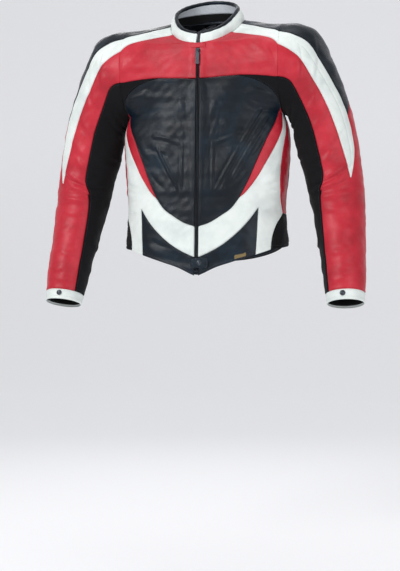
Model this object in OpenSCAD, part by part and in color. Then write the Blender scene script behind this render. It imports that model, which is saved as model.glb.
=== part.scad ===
// Two-colour leather riding jacket in its worn shape, closed at the front.
// The front faces -Y and the wearer's left is +X. The origin lies midway between the
// inner ends of the two shoulder seams, and the jacket hangs below it.

/* [Torso] */
// Half width at the chest
chest_half_w = 208; // [190:1:235]
// Half width at the waist
waist_half_w = 199; // [180:1:225]
// Half width at the hem
hem_half_w = 206; // [185:1:230]
// Depth of the front at the hem, from the side seams forwards
front_depth = 122; // [110:1:140]
// How far the front leans back from the hem to the neck
front_lean = 22; // [10:1:35]
// Depth of the back at the shoulder blades, from the side seams backwards
back_depth = 122; // [110:1:140]
// Height of the hem's front point below the shoulder seams
front_length = 636; // [600:1:720]
// Squareness of the torso's cross-section
squareness = 2.35; // [2.1:0.05:2.8]

/* [Shoulders and neck] */
// Distance from the middle to the armhole seam
armhole_x = 195; // [185:1:205]
// Drop from the shoulder line to the armhole's centre
armhole_drop = 128; // [120:1:135]
// Radius of the armhole
armhole_r = 110; // [98:1:114]
// Half width of the neckline
neck_half_w = 92; // [85:1:100]
// Drop from the shoulder line to the neckline's front
neck_drop = 74; // [60:1:90]
// Half width of the collar's rim
rim_half_w = 78; // [68:1:84]

/* [Sleeves] */
// Drop from the armhole's centre to the elbow
upper_drop = 290; // [260:1:320]
// Drop from the elbow to the cuff's edge
forearm_drop = 285; // [260:1:315]
// Distance from the middle to the outside of the cuff
cuff_reach = 399; // [385:1:430]
// Width of the cuff
cuff_w = 92; // [80:1:110]
// Gap between the armhole and the sleeve
armhole_gap = 2; // [1.5:0.5:4]
// Gap between the upper sleeve and the forearm
elbow_gap = 2; // [1.5:0.5:4]

/* [Leather and lining] */
// Thickness of the leather
leather_t = 1.3; // [1:0.1:1.8]
// Thickness of the lining
lining_t = 0.8; // [0.6:0.1:1.2]
// Depth of the lining below the leather's face
lining_depth = 5.4; // [4.6:0.2:7]
// Thickness of the foam armour
pad_t = 7; // [4:0.5:10]
// Clearance between the lining and the armour or the waist zip inside it
pad_gap = 2.8; // [2:0.2:4]
// Half of the gap that a seam leaves between two panels
seam_half = 0.8; // [0.6:0.1:1.5]

/* [Zip and press studs] */
// Half width of the slot between the front edges
slot_half = 4.5; // [4:0.5:8]
// Pitch of the teeth on one tape
tooth_pitch = 5; // [4:0.5:8]
// Length of the slider
slider_len = 16; // [12:1:22]
// Length of the pull tab
pull_len = 34; // [24:1:50]
// Radius of a press stud's cap
stud_r = 6.5; // [4.5:0.5:8]

/* [Hidden] */

red = [0.76, 0.19, 0.25];
white = [0.92, 0.94, 0.93];
black = [0.09, 0.11, 0.13];
stretch_black = [0.04, 0.04, 0.05];
lining_grey = [0.62, 0.64, 0.65];
foam_grey = [0.35, 0.36, 0.38];
metal = [0.24, 0.25, 0.27];

arm_z = -armhole_drop;
pit_z = arm_z - armhole_r;
elbow_z = arm_z - upper_drop;
cuff_z = elbow_z - forearm_drop;
rest = 0.01;
tiny = 0.02;

// Half width of the torso against height, from the hem up to the armpit
half_w_curve = [
    [-640, hem_half_w], [-566, hem_half_w - 2], [-470, waist_half_w], [-420, waist_half_w + 3],
    [-350, chest_half_w], [-290, chest_half_w + 1], [-262, chest_half_w - 5], [pit_z, armhole_x]
];
// Depth of the back against height
back_curve = [
    [-640, back_depth - 8], [-566, back_depth - 14], [-470, back_depth - 24],
    [-350, back_depth - 10], [pit_z, back_depth]
];
// Depth of the back's centre line from the armpit up to the neck
spine_curve = [
    [pit_z, back_depth], [-150, back_depth], [-60, back_depth - 10], [22, back_depth - 24]
];

// Neckline: its front, side and back points, and the collar's rim above them
neck_front = [0, front_y(-neck_drop), -neck_drop];
neck_side = [neck_half_w, 14, 2];
neck_back = [0, back_depth - 24, 22];
rim_front = [0, neck_front.y + 12, -neck_drop + 27];
rim_side = [rim_half_w, 4, 26];
rim_back = [0, neck_back.y - 10, 68];
// Share of the armhole's height at which the centre lines reach the neckline
front_share = (pit_z + neck_drop) / pit_z;
back_share = 0.8;

zip_low = -front_length + 8;
zip_high = -neck_drop - 4;
zip_tilt = atan(front_lean / 552);
zip_len = (zip_high - zip_low) / cos(zip_tilt);

// ---- Curves and surfaces ----

// Smooth curve through hand-placed points, held flat beyond its ends
function slope(p, i) =
    let(a = max(i - 1, 0), b = min(i + 1, len(p) - 1)) (p[b][1] - p[a][1]) / (p[b][0] - p[a][0]);
function hermite(a, b, da, db, u) =
    a * (2 * u * u * u - 3 * u * u + 1) + da * (u * u * u - 2 * u * u + u)
    + b * (3 * u * u - 2 * u * u * u) + db * (u * u * u - u * u);
function smooth(x, p, i = 0) =
    x <= p[0][0] ? p[0][1] :
    x >= p[len(p) - 1][0] ? p[len(p) - 1][1] :
    x > p[i + 1][0] ? smooth(x, p, i + 1) :
    let(w = p[i + 1][0] - p[i][0])
    hermite(p[i][1], p[i + 1][1], slope(p, i) * w, slope(p, i + 1) * w, (x - p[i][0]) / w);

// Point at share k of a smooth path through hand-placed points
function along(path, k) =
    let(
        n = len(path) - 1, f = min(k, 0.99999) * n, i = floor(f),
        a = path[i], b = path[i + 1],
        da = i > 0 ? (b - path[i - 1]) / 2 : b - a,
        db = i + 2 <= n ? (path[i + 2] - a) / 2 : b - a
    ) hermite(a, b, da, db, f - i);

// Stretch of a path between two of its points, counted from 0
function portion(path, first, last, steps) =
    [for (i = [0:steps]) along(path, (first + (last - first) * i / steps) / (len(path) - 1))];

function unit(v) = v / norm(v);
function front_y(z) = -(front_depth - front_lean * (z + 640) / 552);
function power(v) = pow(max(abs(v), 0), 2 / squareness);
function flipped(p) = [-p.x, p.y, p.z];

// Quarter of an oval between three points: middle front or back, and side
function quarter(mid, side, a, bend) = [
    side.x * sin(a),
    side.y + (mid.y - side.y) * cos(a),
    side.z + (mid.z - side.z) * pow(cos(a), bend)
];
function neckline(a) = a <= 90 ? quarter(neck_front, neck_side, a, 1.15)
                               : quarter(neck_back, neck_side, 180 - a, 1);
function rim(a) = a <= 90 ? quarter(rim_front, rim_side, a, 1.15)
                          : quarter(rim_back, rim_side, 180 - a, 1);

// Upper torso. s runs from the armpit (0) over the shoulder (1) to the armpit's back (2),
// and u from the middle or the neckline (0) to the armhole (1).
function mid_edge(s) =
    s <= front_share ?
        let(z = pit_z + (neck_front.z - pit_z) * s / front_share) [0, front_y(z), z] :
    s <= 1 ? neckline((s - front_share) / (1 - front_share) * 90) :
    2 - s <= back_share ?
        let(z = pit_z + (neck_back.z - pit_z) * (2 - s) / back_share) [0, smooth(z, spine_curve), z] :
    neckline(180 - (2 - s - back_share) / (1 - back_share) * 90);
function armhole(s) = [
    armhole_x, -armhole_r * cos(180 * s - 90), arm_z + armhole_r * sin(180 * s - 90)
];
function upper(u, s) =
    let(
        h = s <= 1 ? s : 2 - s,
        w = smooth(h, [[0, 0], [0.35, 0.25], [0.7, 0.7], [1, 1]]),
        across = power(sin(90 * u)) * (1 - w) + u * w,
        round_off = (1 - power(cos(90 * u))) * (1 - w) + u * w,
        from = mid_edge(s), span = armhole(s) - from
    ) from + [span.x * across, span.y * round_off, span.z * (round_off + u) / 2];
function upper_both(p) = p[0] < 0 ? flipped(upper(-p[0], p[1])) : upper(p[0], p[1]);

// Whole torso. t turns from the front's middle (0) past the wearer's left side (90) to the
// middle of the back (180) and on to the other side, and q is the height down the front.
function torso_half(t, q) =
    q <= pit_z ? [
        smooth(q, half_w_curve) * power(sin(t)),
        (cos(t) >= 0 ? front_y(q) : smooth(q, back_curve)) * power(cos(t)),
        q
    ] :
    let(h = min(1 - q / pit_z, 1)) t <= 90 ? upper(t / 90, h) : upper((180 - t) / 90, 2 - h);
function torso(p) = p[0] > 180 ? flipped(torso_half(360 - p[0], p[1])) : torso_half(p[0], p[1]);

// Left sleeve. w counts twelve steps and one from the armhole (0) past the elbow (8) to the
// cuff's edge (13), and the angle turns from the outside (0) to the front (90) and inside (180).
elbow_w = 8;
cuff_end_w = 13;
// Angle at which a piece that goes all round starts, on the inside
round_start = 181;
ring_x = armhole_x + armhole_gap;
function sleeve_outside(w) = [
    smooth(w, [
        [0, ring_x], [2, 277], [3.5, 317], [5.5, 358], [elbow_w, 388], [10.5, 397],
        [cuff_end_w, cuff_reach]
    ]),
    0,
    smooth(w, [
        [0, arm_z + armhole_r], [1, arm_z + armhole_r - 3], [2, arm_z + armhole_r - 22], [3, arm_z + 38],
        [5.5, arm_z - 105], [elbow_w, elbow_z + 18], [10.5, elbow_z - 157], [cuff_end_w, cuff_z + 2]
    ])
];
function sleeve_inside(w) = [
    smooth(w, [
        [0, ring_x], [2, ring_x + 12], [4, ring_x + 21], [6, 230], [elbow_w, 256], [10.5, 287],
        [cuff_end_w, cuff_reach - cuff_w]
    ]),
    0,
    smooth(w, [
        [0, pit_z], [2, pit_z - 12], [4, pit_z - 39], [6, pit_z - 102], [elbow_w, elbow_z - 18],
        [10.5, elbow_z - 170], [cuff_end_w, cuff_z - 3]
    ])
];
function sleeve_mid(w) =
    (sleeve_outside(w) + sleeve_inside(w)) / 2
    + [0, smooth(w, [[0, 0], [3, 0], [7, 6], [elbow_w, 5], [9, -6], [11, -44], [cuff_end_w, -71]]), 0];
function sleeve_depth(w) =
    smooth(w, [[0, armhole_r], [1, armhole_r - 4], [4, 82], [elbow_w, 70], [cuff_end_w, 46]]);
function sleeve(p) =
    let(
        w = p[0],
        out = (sleeve_outside(w) - sleeve_inside(w)) / 2,
        before = sleeve_mid(max(w - 0.5, 0)),
        after = sleeve_mid(min(w + 0.5, cuff_end_w)),
        run = w < tiny ? [1, 0, 0] : unit(after - before),
        ahead = unit(cross(run, unit(out)))
    ) sleeve_mid(w) + out * cos(p[1]) + ahead * sleeve_depth(w) * sin(p[1]);

// Outward directions, taken from two short steps that stay on the same side of an edge
function facing(step_a, step_b) = unit(cross(step_a, step_b));
function torso_out(p) =
    let(
        low = p[0] <= 90 ? 0 : p[0] <= 270 ? 90 : 270,
        t0 = max(p[0] - rest * 40, low),
        t1 = min(p[0] + rest * 40, low == 0 ? 90 : low == 90 ? 270 : 360),
        q0 = p[1] - rest * 50,
        q1 = min(p[1] + rest * 50, 0)
    ) facing(torso([t1, p[1]]) - torso([t0, p[1]]), torso([p[0], q1]) - torso([p[0], q0]));
function upper_out(p) =
    let(u0 = p[0] < 0 ? p[0] - rest : max(p[0] - rest, 0), u1 = min(p[0] + rest, 1))
    facing(upper_both([u1, p[1]]) - upper_both([max(u0, -1), p[1]]),
        upper_both([p[0], p[1] + rest / 2]) - upper_both([p[0], p[1] - rest / 2]));
function sleeve_out(p) =
    facing(sleeve([p[0], p[1] + 1]) - sleeve([p[0], p[1] - 1]),
        sleeve([min(p[0] + rest * 4, cuff_end_w), p[1]]) - sleeve([max(p[0] - rest * 4, 0), p[1]]));

// ---- Panels ----

// Parameter grid of a panel between two paths, pulled in by half a seam on every side
function panel_grid(place, path_a, path_b, steps, rows) =
    let(length = norm(place(along(path_a, 0)) - place(along(path_a, 0.5)))
            + norm(place(along(path_a, 0.5)) - place(along(path_a, 1))),
        trim = min(seam_half / length, 0.1))
    [for (i = [0:steps])
        let(
            k = trim + (1 - 2 * trim) * i / steps,
            a = along(path_a, k), b = along(path_b, k), c = place((a + b) / 2),
            inset = min(seam_half / max(norm(place(a) - c) + norm(c - place(b)), 0.1), 0.35)
        )
        [for (j = [0:rows]) a + (b - a) * (inset + (1 - 2 * inset) * j / rows)]];

// Closed shell between two depths below the surface
module shell(grid, place, out, depth_a, depth_b, keep = function(p) p) {
    n = len(grid);
    m = len(grid[0]);
    top = [for (row = grid) for (p = row) keep(place(p) - out(p) * depth_a)];
    under = [for (row = grid) for (p = row) keep(place(p) - out(p) * depth_b)];
    area = n * m;
    border = concat(
        [for (j = [0:m - 2]) [j, j + 1]],
        [for (i = [0:n - 2]) [i * m + m - 1, (i + 1) * m + m - 1]],
        [for (j = [m - 1:-1:1]) [(n - 1) * m + j, (n - 1) * m + j - 1]],
        [for (i = [n - 1:-1:1]) [i * m, (i - 1) * m]]
    );
    faces = concat(
        [for (i = [0:n - 2]) for (j = [0:m - 2]) each [
            [i * m + j, i * m + j + 1, (i + 1) * m + j + 1],
            [i * m + j, (i + 1) * m + j + 1, (i + 1) * m + j]
        ]],
        [for (i = [0:n - 2]) for (j = [0:m - 2]) each [
            [area + i * m + j, area + (i + 1) * m + j + 1, area + i * m + j + 1],
            [area + i * m + j, area + (i + 1) * m + j, area + (i + 1) * m + j + 1]
        ]],
        [for (e = border) each [[e[1], e[0], area + e[0]], [e[1], area + e[0], area + e[1]]]]
    );
    // The winding follows the paths' direction, so it is turned where the paths run the other way
    i_mid = floor((n - 1) / 2);
    j_mid = floor((m - 1) / 2);
    mid_p = grid[i_mid][j_mid];
    next_row = grid[i_mid + 1][j_mid];
    next_col = grid[i_mid][j_mid + 1];
    turn = cross(place(next_col) - place(mid_p), place(next_row) - place(mid_p)) * out(mid_p);
    polyhedron(
        concat(top, under),
        turn < 0 ? faces : [for (f = faces) [f[2], f[1], f[0]]],
        convexity = 6
    );
}

function clear_of_slot(p) = [max(p.x, slot_half), p.y, p.z];

// Leather of the front's left half
module front_panel(path_a, path_b, steps = 14, rows = 5) {
    place = function(p) torso([min(max(p[0], 0), 90), p[1]]);
    out = function(p) torso_out([min(max(p[0], 0.2), 90), p[1]]);
    shell(panel_grid(place, path_a, path_b, steps, rows), place, out, 0, leather_t,
        function(p) clear_of_slot(p));
}

// Leather anywhere on the torso
module body_panel(path_a, path_b, steps = 14, rows = 5, depth = 0, thick = leather_t) {
    place = function(p) torso(p);
    out = function(p) torso_out(p);
    shell(panel_grid(place, path_a, path_b, steps, rows), place, out, depth, depth + thick);
}

// Leather over the shoulders and the upper back
module top_panel(path_a, path_b, steps = 12, rows = 6) {
    place = function(p) upper_both(p);
    out = function(p) upper_out(p);
    shell(panel_grid(place, path_a, path_b, steps, rows), place, out, 0, leather_t);
}

// Piece of the left sleeve
module arm_panel(path_a, path_b, steps = 14, rows = 5, depth = 0, thick = leather_t) {
    place = function(p) sleeve(p);
    out = function(p) sleeve_out(p);
    shell(panel_grid(place, path_a, path_b, steps, rows), place, out, depth, depth + thick);
}

// Ring of cloth or leather round the left sleeve, between two steps
module arm_ring(low, high, steps, rows, depth = 0, thick = leather_t) {
    path = [for (w = [low, (low + high) / 2, high]) [w, round_start]];
    arm_panel(path, [for (p = path) p + [0, 358]], steps, rows, depth, thick);
}

// Draws a left-hand piece on the other side
module on_right() {
    mirror([1, 0, 0]) children();
}

module both() {
    children();
    on_right() children();
}

// Path on the left half of the back, carried on across the middle
function across_back(path) =
    concat(path, [for (i = [len(path) - 2:-1:0]) [360 - path[i][0], path[i][1]]]);

// ---- Seam lines of the front, as turn and height ----

yoke_seam = [[0, -160], [21, -153], [39, -149], [76, -147], [90, -145]];
stripe_front_seam = [[0, -30], [21, -38], [40, -49], [76, -73], [90, -89]];
stripe_back_seam = [[0, -10], [21, -15], [40, -22], [76, -46], [90, -60]];
// Edge of the black chest panel, from the yoke round the chest to the zip
chest_seam = [
    [31, -151], [47, -157], [66, -170], [79, -185], [84, -205], [78, -226], [69, -246], [60, -268],
    [52, -292], [46, -322], [40, -360], [34, -405], [27, -450], [21, -475], [14, -492], [7, -508],
    [0.7, -518]
];
chest_centre = [[0, -161], [0, -196], [0, -247], [0, -326], [0, -446], [0, -486], [0, -519]];
// Outer edge of the red sliver, which meets the chest panel's edge at both ends
accent_seam = [
    [84, -205], [82, -232], [75, -262], [67, -292], [58, -326], [49, -364], [41, -402], [33, -433],
    [27, -450]
];
band_seam = [[44, -473], [34, -507], [24, -537], [13, -566], [0.7, -592]];
hem_front = [[40, -586], [31, -594], [21, -604], [10, -617], [0.7, -front_length]];
lower_front_seam = [[44, -473], [40, -586]];
side_seam = [
    [86, -247], [77, -285], [71, -326], [69, -360], [69, -392], [71, -425], [74, -455], [79, -484]
];
side_back_seam = [[94, -248], [92, -326], [91, -392], [92, -484]];
waist_front_seam = [[79, -484], [66, -511], [59, -540], [56, -573]];
waist_back_seam = [[92, -484], [96, -500], [101.5, -520], [107, -540], [112, -558]];
armpit_lower = concat(portion(chest_seam, 0.1, 4, 4), [[83.5, -219], [82.5, -232], [86, -246]]);
armpit_upper = concat(portion(yoke_seam, 1.6, 4, 4), [[90, -175], [90, -210], [90, -246]]);

// Seam lines of the back's left half
stretch_top_seam = [[90, -100], [120, -102], [150, -105], [180, -107]];
stretch_low_seam = [[90, -139], [119, -142], [150, -144], [180, -145]];
back_armpit_outer = [[90, -139], [90, -190], [90, -247]];
back_panel_seam = [[119, -142], [122.3, -190], [126.6, -248], [141, -442]];
back_band_seam = [[92, -484], [116, -463], [141, -442], [160, -448], [180, -452]];
back_waist_seam = [[96, -500], [118, -492], [145, -482], [162, -484], [180, -487]];
back_hem = [[112, -558], [130, -574], [150, -588], [165, -595], [180, -598]];

// ---- Torso ----

module yoke_front() {
    color(red) front_panel(yoke_seam, stripe_front_seam, 12, 6);
}

module chest_panel() {
    // Heights on the centre line that face the seam's own points
    chest_centre_matched = [
        for (i = [0:len(chest_seam) - 1]) along(chest_centre, i / (len(chest_seam) - 1))
    ];
    color(black) front_panel(chest_centre_matched, chest_seam, 20, 7);
}

module chest_accents() {
    color(red) both() front_panel(portion(chest_seam, 4, 12, 8), accent_seam, 12, 1);
}

module front_bands() {
    color(white) both() front_panel(portion(chest_seam, 12, 16, 4), band_seam, 12, 2);
}

module side_panel() {
    color(white) {
        front_panel(portion(accent_seam, 1, 8, 7), portion(side_seam, 0, 6, 7), 12, 3);
        front_panel([accent_seam[8], band_seam[0]], portion(side_seam, 6, 7, 1), 2, 3);
        front_panel(lower_front_seam, waist_front_seam, 7, 3);
    }
}

module lower_fronts() {
    color(black) both() front_panel(band_seam, hem_front, 12, 3);
}

module side_stripes() {
    color(red) both() body_panel(side_seam, side_back_seam, 10, 2);
}

module side_stretch() {
    color(stretch_black) both() body_panel(waist_front_seam, waist_back_seam, 6, 5);
}

module underarm_stretch() {
    color(stretch_black) both() {
        front_panel(armpit_lower, armpit_upper, 12, 2);
        body_panel(back_armpit_outer, portion(back_panel_seam, 0, 2, 2), 6, 2);
    }
}

module shoulder_stripes() {
    color(white) both() front_panel(stripe_front_seam, stripe_back_seam, 12, 2);
}

module back_yoke() {
    // Front edge of the shoulder pieces, in the shoulder's own measure
    shoulder_front = [for (p = stripe_back_seam) [p[0] / 90, 1 - p[1] / pit_z]];
    shoulder_back = [for (p = stripe_back_seam) [p[0] / 90, 1.2]];
    blade_top = [[-1, 1.2], [-0.5, 1.2], [0, 1.2], [0.5, 1.2], [1, 1.2]];
    blade_low = [[-1, 1.42], [-0.5, 1.435], [0, 1.45], [0.5, 1.435], [1, 1.42]];
    color(black) {
        both() top_panel(shoulder_front, shoulder_back, 8, 4);
        top_panel(blade_top, blade_low, 14, 3);
    }
}

module back_stretch() {
    color(stretch_black)
        body_panel(across_back(stretch_top_seam), across_back(stretch_low_seam), 14, 2);
}

module back_panel() {
    top = across_back(portion(stretch_low_seam, 1, 3, 2));
    low = across_back(portion(back_band_seam, 2, 4, 2));
    color(red) body_panel(top, low, 10, 9);
}

module back_side() {
    color(black) body_panel(side_back_seam, portion(back_panel_seam, 2, 3, 1), 8, 3);
}

module back_band() {
    color(white) body_panel(across_back(back_band_seam), across_back(back_waist_seam), 16, 1);
}

module back_waist_stretch() {
    color(stretch_black) body_panel(across_back(back_waist_seam), across_back(back_hem), 16, 3);
}

// ---- Collar ----

collar_gap_angle = 3;
bead_r = 4.2;
bead_gap = 0.5;

// Share of the collar's height that its walls reach, just below the bead on the rim
function wall_share(a) =
    let(left = a <= 180 ? a : 360 - a) 1 - (bead_r + bead_gap) / norm(rim(left) - neckline(left));

// Grid round the collar: the turn from the front, and the share of the height
function collar_grid(low) = [
    for (i = [0:36])
        let(a = collar_gap_angle + (360 - 2 * collar_gap_angle) * i / 36)
        [for (j = [0:2]) [a, low + (wall_share(a) - low) * j / 2]]
];
function collar(p) =
    let(
        left = p[0] <= 180,
        a = left ? p[0] : 360 - p[0],
        foot = neckline(a),
        lip = rim(a),
        belly = 2.5 * sin(180 * p[1]),
        wall = foot + (lip - foot) * p[1] + [sin(a), -cos(a), 0] * belly
    ) left ? wall : flipped(wall);
function collar_out(p) =
    facing(collar([p[0] + 1, p[1]]) - collar([p[0] - 1, p[1]]),
        collar([p[0], p[1] + rest]) - collar([p[0], p[1] - rest]));

module collar_wall(low, depth, thick) {
    shell(collar_grid(low), function(p) collar(p), function(p) collar_out(p), depth, depth + thick);
}

module collar_outer() {
    color(white) collar_wall(0.06, 0, leather_t);
}

module collar_lining() {
    color(lining_grey) collar_wall(0.04, leather_t + 0.6, 2.6);
}

// Rolled edge that caps the rim, swept as a six-sided bead
module collar_binding() {
    sides = 6;
    steps = 40;
    middle = leather_t / 2 + 1.4;
    ring = function(a) let(
        c = collar([a, 1]) - collar_out([a, 0.98]) * middle,
        o = collar_out([a, 0.98]),
        up = unit(collar([a, 1]) - collar([a, 0.9]))
    ) [for (i = [0:sides - 1]) c + o * (bead_r * cos(360 * i / sides)) + up * (bead_r * sin(360 * i / sides))];
    points = [
        for (i = [0:steps])
            each ring(collar_gap_angle + (360 - 2 * collar_gap_angle) * i / steps)
    ];
    walls = [
        for (i = [0:steps - 1]) for (j = [0:sides - 1])
            let(a = i * sides + j, b = i * sides + (j + 1) % sides)
            each [[a, b, b + sides], [a, b + sides, a + sides]]
    ];
    caps = [
        [for (j = [sides - 1:-1:0]) j],
        [for (j = [0:sides - 1]) steps * sides + j]
    ];
    color(black) polyhedron(points, concat(walls, caps), convexity = 6);
}

// ---- Inside the torso ----

module torso_lining() {
    lower_hem = [[6, -596], [40, -572], [90, -548], [130, -560], [180, -584]];
    lower_top = [[6, -249], [40, -249], [90, -249], [130, -249], [180, -249]];
    front_low = [[8, -247], [45, -247], [88, -247]];
    front_top = [[4, -36], [45, -52], [88, -80]];
    blade_low = [[92, -247], [135, -247], [180, -247]];
    blade_top = [[92, -90], [135, -70], [180, -52]];
    color(lining_grey) {
        body_panel(across_back(lower_hem), across_back(lower_top), 28, 6, lining_depth, lining_t);
        both() body_panel(front_low, front_top, 12, 8, lining_depth, lining_t);
        body_panel(across_back(blade_low), across_back(blade_top), 14, 6, lining_depth, lining_t);
    }
}

module back_pad() {
    top = [[152, -110], [166, -108], [180, -106]];
    low = [[160, -405], [170, -415], [180, -418]];
    color(foam_grey)
        body_panel(across_back(top), across_back(low), 6, 6, lining_depth + pad_gap + 1.6, pad_t + 2);
}

// Half ring of tape below the collar, for hanging the jacket on a hook
module hanger_loop() {
    loop_r = 24;
    loop_inset = 14;
    loop_tape = [1.4, 6];
    color(stretch_black)
        translate([0, neck_back.y - loop_inset, neck_back.z - 6])
            rotate([-80, 0, 0])
                rotate_extrude(angle = 180, $fn = 48)
                    translate([loop_r, -loop_tape.y / 2]) square(loop_tape);
}

// Half of the zip that joins the jacket to trousers, inside the back of the hem
module waist_zip() {
    tape_low = [[100, -541], [130, -562], [160, -577], [180, -582]];
    tape_high = [[100, -524], [130, -545], [160, -560], [180, -565]];
    tape_depth = lining_depth + pad_gap;
    teeth = 44;
    path = across_back(tape_low);
    color(black) body_panel(path, across_back(tape_high), 16, 1, tape_depth, 0.8);
    color(metal)
        for (i = [0:teeth]) {
            p = along(path, 0.02 + 0.96 * i / teeth);
            at = torso(p) - torso_out(p) * (tape_depth + 0.4);
            translate(at)
                rotate([0, 0, atan2(torso_out(p).y, torso_out(p).x)])
                    cube([3, 2.4, 5], center = true);
        }
}

// ---- Front zip ----

// Places a child on the zip's line, measured upwards from the zip's lower end
module on_zip(height) {
    translate([0, front_y(zip_low), zip_low])
        rotate([-zip_tilt, 0, 0])
            translate([0, 0, height]) children();
}

tape_y = leather_t + 0.5;
tape_t = 0.8;
tooth = [2.2, 2.6, 2.6];
tooth_x = 0.7;
tooth_y = tape_y - 0.1 - tooth.y;

module zip_tapes() {
    color(stretch_black)
        both() on_zip(0) translate([tooth_x, tape_y, 0]) cube([11, tape_t, zip_len]);
}

module zip_teeth() {
    count = floor((zip_len - 10) / tooth_pitch);
    stop_len = 4;
    color(metal) {
        for (side = [0, 1])
            mirror([side, 0, 0])
                for (i = [0:count - 1])
                    on_zip(stop_len + 1 + (i + side / 2) * tooth_pitch)
                        translate([tooth_x, tooth_y, 0]) cube(tooth);
        both() {
            on_zip(0) translate([tooth_x, tooth_y, 0]) cube([3.4, tooth.y, stop_len]);
            on_zip(zip_len - 3) translate([tooth_x, tooth_y, 0]) cube([3.4, tooth.y, 3]);
        }
    }
}

// Leather hood over the zip's upper end
module zip_garage() {
    hood = [38, leather_t, 12];
    color(red)
        on_zip(zip_len - 8)
            translate([0, -hood.y / 2 - 1, hood.z / 2])
                rotate([90, 0, 0])
                    linear_extrude(hood.y, center = true)
                        offset(3, $fn = 32) square([hood.x - 6, hood.z - 6], center = true);
}

plate_gap = 0.4;
plate_t = 2;
slider_top = zip_len - 10;
plate_y = tooth_y - plate_gap - plate_t;
pin_y = plate_y - 2.6;
pin_r = 0.8;
pin_z = slider_top - 5;

module zip_slider() {
    plate_w = 11;
    back_y = tape_y + tape_t + plate_gap;
    neck_t = 0.7;
    ear = [1.2, 4.4, 6];
    color(metal) {
        on_zip(slider_top - slider_len) {
            for (y = [plate_y, back_y])
                translate([0, y, slider_len / 2])
                    rotate([-90, 0, 0])
                        linear_extrude(y == plate_y ? plate_t : 1.4)
                            offset(2, $fn = 32) square([plate_w - 4, slider_len - 4], center = true);
            translate([-neck_t / 2, plate_y + 1, slider_len - 5])
                cube([neck_t, back_y - plate_y, 4]);
        }
        on_zip(pin_z) {
            for (x = [-3.9, 2.7])
                translate([x, pin_y - pin_r - 0.6, -ear.z / 2]) cube(ear);
            translate([-3.5, pin_y, 0]) rotate([0, 90, 0]) cylinder(r = pin_r, h = 7, $fn = 24);
        }
    }
}

module zip_pull() {
    eye_r = 2.1;
    pull_w = 9;
    pull_t = 1.8;
    color(metal)
        on_zip(pin_z) translate([0, pin_y, 0]) difference() {
            union() {
                translate([-2.2, 0, 0]) rotate([0, 90, 0]) cylinder(r = eye_r, h = 4.4, $fn = 36);
                translate([-2.2, -pull_t / 2, -8]) cube([4.4, pull_t, 8]);
                translate([0, 0, -pull_len / 2 - 3])
                    rotate([90, 0, 0])
                        linear_extrude(pull_t, center = true)
                            offset(2.5, $fn = 32) square([pull_w - 5, pull_len - 11], center = true);
            }
            translate([-5, 0, 0]) rotate([0, 90, 0]) cylinder(r = pin_r + 0.35, h = 10, $fn = 36);
        }
}

// ---- Hem ----

tab_z = 10;
tab_size = [44, 1.3, 24];

// Tongue that buttons across the zip's lower end
module hem_tab() {
    color(black)
        on_zip(tab_z)
            translate([8, tooth_y - 1.2 - tab_size.y / 2, tab_size.z / 2])
                rotate([90, 0, 0])
                    linear_extrude(tab_size.y, center = true)
                        offset(6, $fn = 48) square([tab_size.x - 12, tab_size.z - 12], center = true);
}

// Domed cap with its flange, standing on a surface along +Z
module stud() {
    cylinder(r = stud_r, h = 0.9, $fn = 48);
    translate([0, 0, 0.9]) cylinder(r1 = stud_r, r2 = stud_r * 0.72, h = 1.2, $fn = 48);
}

module hem_stud() {
    color(metal)
        on_zip(tab_z)
            translate([8, tooth_y - 1.2 - tab_size.y - 0.02, tab_size.z / 2])
                rotate([90, 0, 0]) stud();
}

module waist_label() {
    color(white) body_panel([[23, -588], [32, -580]], [[23, -598], [32, -590]], 4, 1, -1, 0.6);
}

// ---- Left sleeve, drawn again for the right ----

// Seam lines as step and angle
stripe_front = [[0, 67], [1.3, 76], [2.6, 80], [4, 74], [5.4, 66], [6.8, 58], [8, 51]];
stripe_rear = [[0, 45], [1.3, 51], [2.6, 51], [4, 42], [5.4, 30], [6.8, 27], [8, 48]];
stretch_front = [[0, 109], [1.3, 109], [2.6, 113], [4, 111], [5.4, 106], [6.8, 105], [8, 112]];
function rear_angle(w) = smooth(w, [[0, 257], [1.3, 257], [4, 245], [8, 245]]);
stretch_rear = [for (p = stretch_front) [p[0], rear_angle(p[0])]];
// The black shoulder panel narrows to a tip on the stripe's rear edge
shoulder_tip = 4.2;
shoulder_front = portion(stripe_rear, 0, shoulder_tip, 5);
tip = shoulder_front[5];
shoulder_rear = [[0, -100], [1.3, -88], [2.6, -68], [4, -38], [5, -6], tip - [0, 0.6]];
full_turn = [0, 360];
cuff_start_w = 12.5;
cuff_seam = 0.05;
forearm_front = [[8, 118], [9.4, 128], [10.7, 135], [cuff_start_w - cuff_seam, 140]];
forearm_rear = [[8, 245], [9.4, 236], [10.7, 228], [cuff_start_w - cuff_seam, 220]];

// Half of the elbow's gap in steps, one of which is about 70 mm there
elbow_trim = elbow_gap / 2 / 70;

function above_elbow(path) = [for (p = path) [min(p[0], elbow_w - elbow_trim), p[1]]];
function below_elbow(path) = [for (p = path) [max(p[0], elbow_w + elbow_trim), p[1]]];

module shoulder_panel() {
    color(black) arm_panel(shoulder_front, shoulder_rear, 12, 6);
}

module sleeve_stripe() {
    color(white) arm_panel(above_elbow(stripe_front), above_elbow(stripe_rear), 12, 2);
}

module upper_sleeve() {
    color(red) {
        arm_panel(above_elbow(stripe_front), above_elbow(stretch_front), 12, 3);
        arm_panel(
            [for (i = [0:5]) [tip[0] * i / 5, rear_angle(tip[0] * i / 5)]],
            [for (p = shoulder_rear) p + full_turn], 9, 6);
        arm_panel(
            [for (w = [tip[0], 6.8, elbow_w - elbow_trim]) [w, rear_angle(w)]],
            [for (p = [tip, stripe_rear[5], stripe_rear[6] - [elbow_trim, 0]]) p + full_turn],
            6, 6);
    }
}

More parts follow.
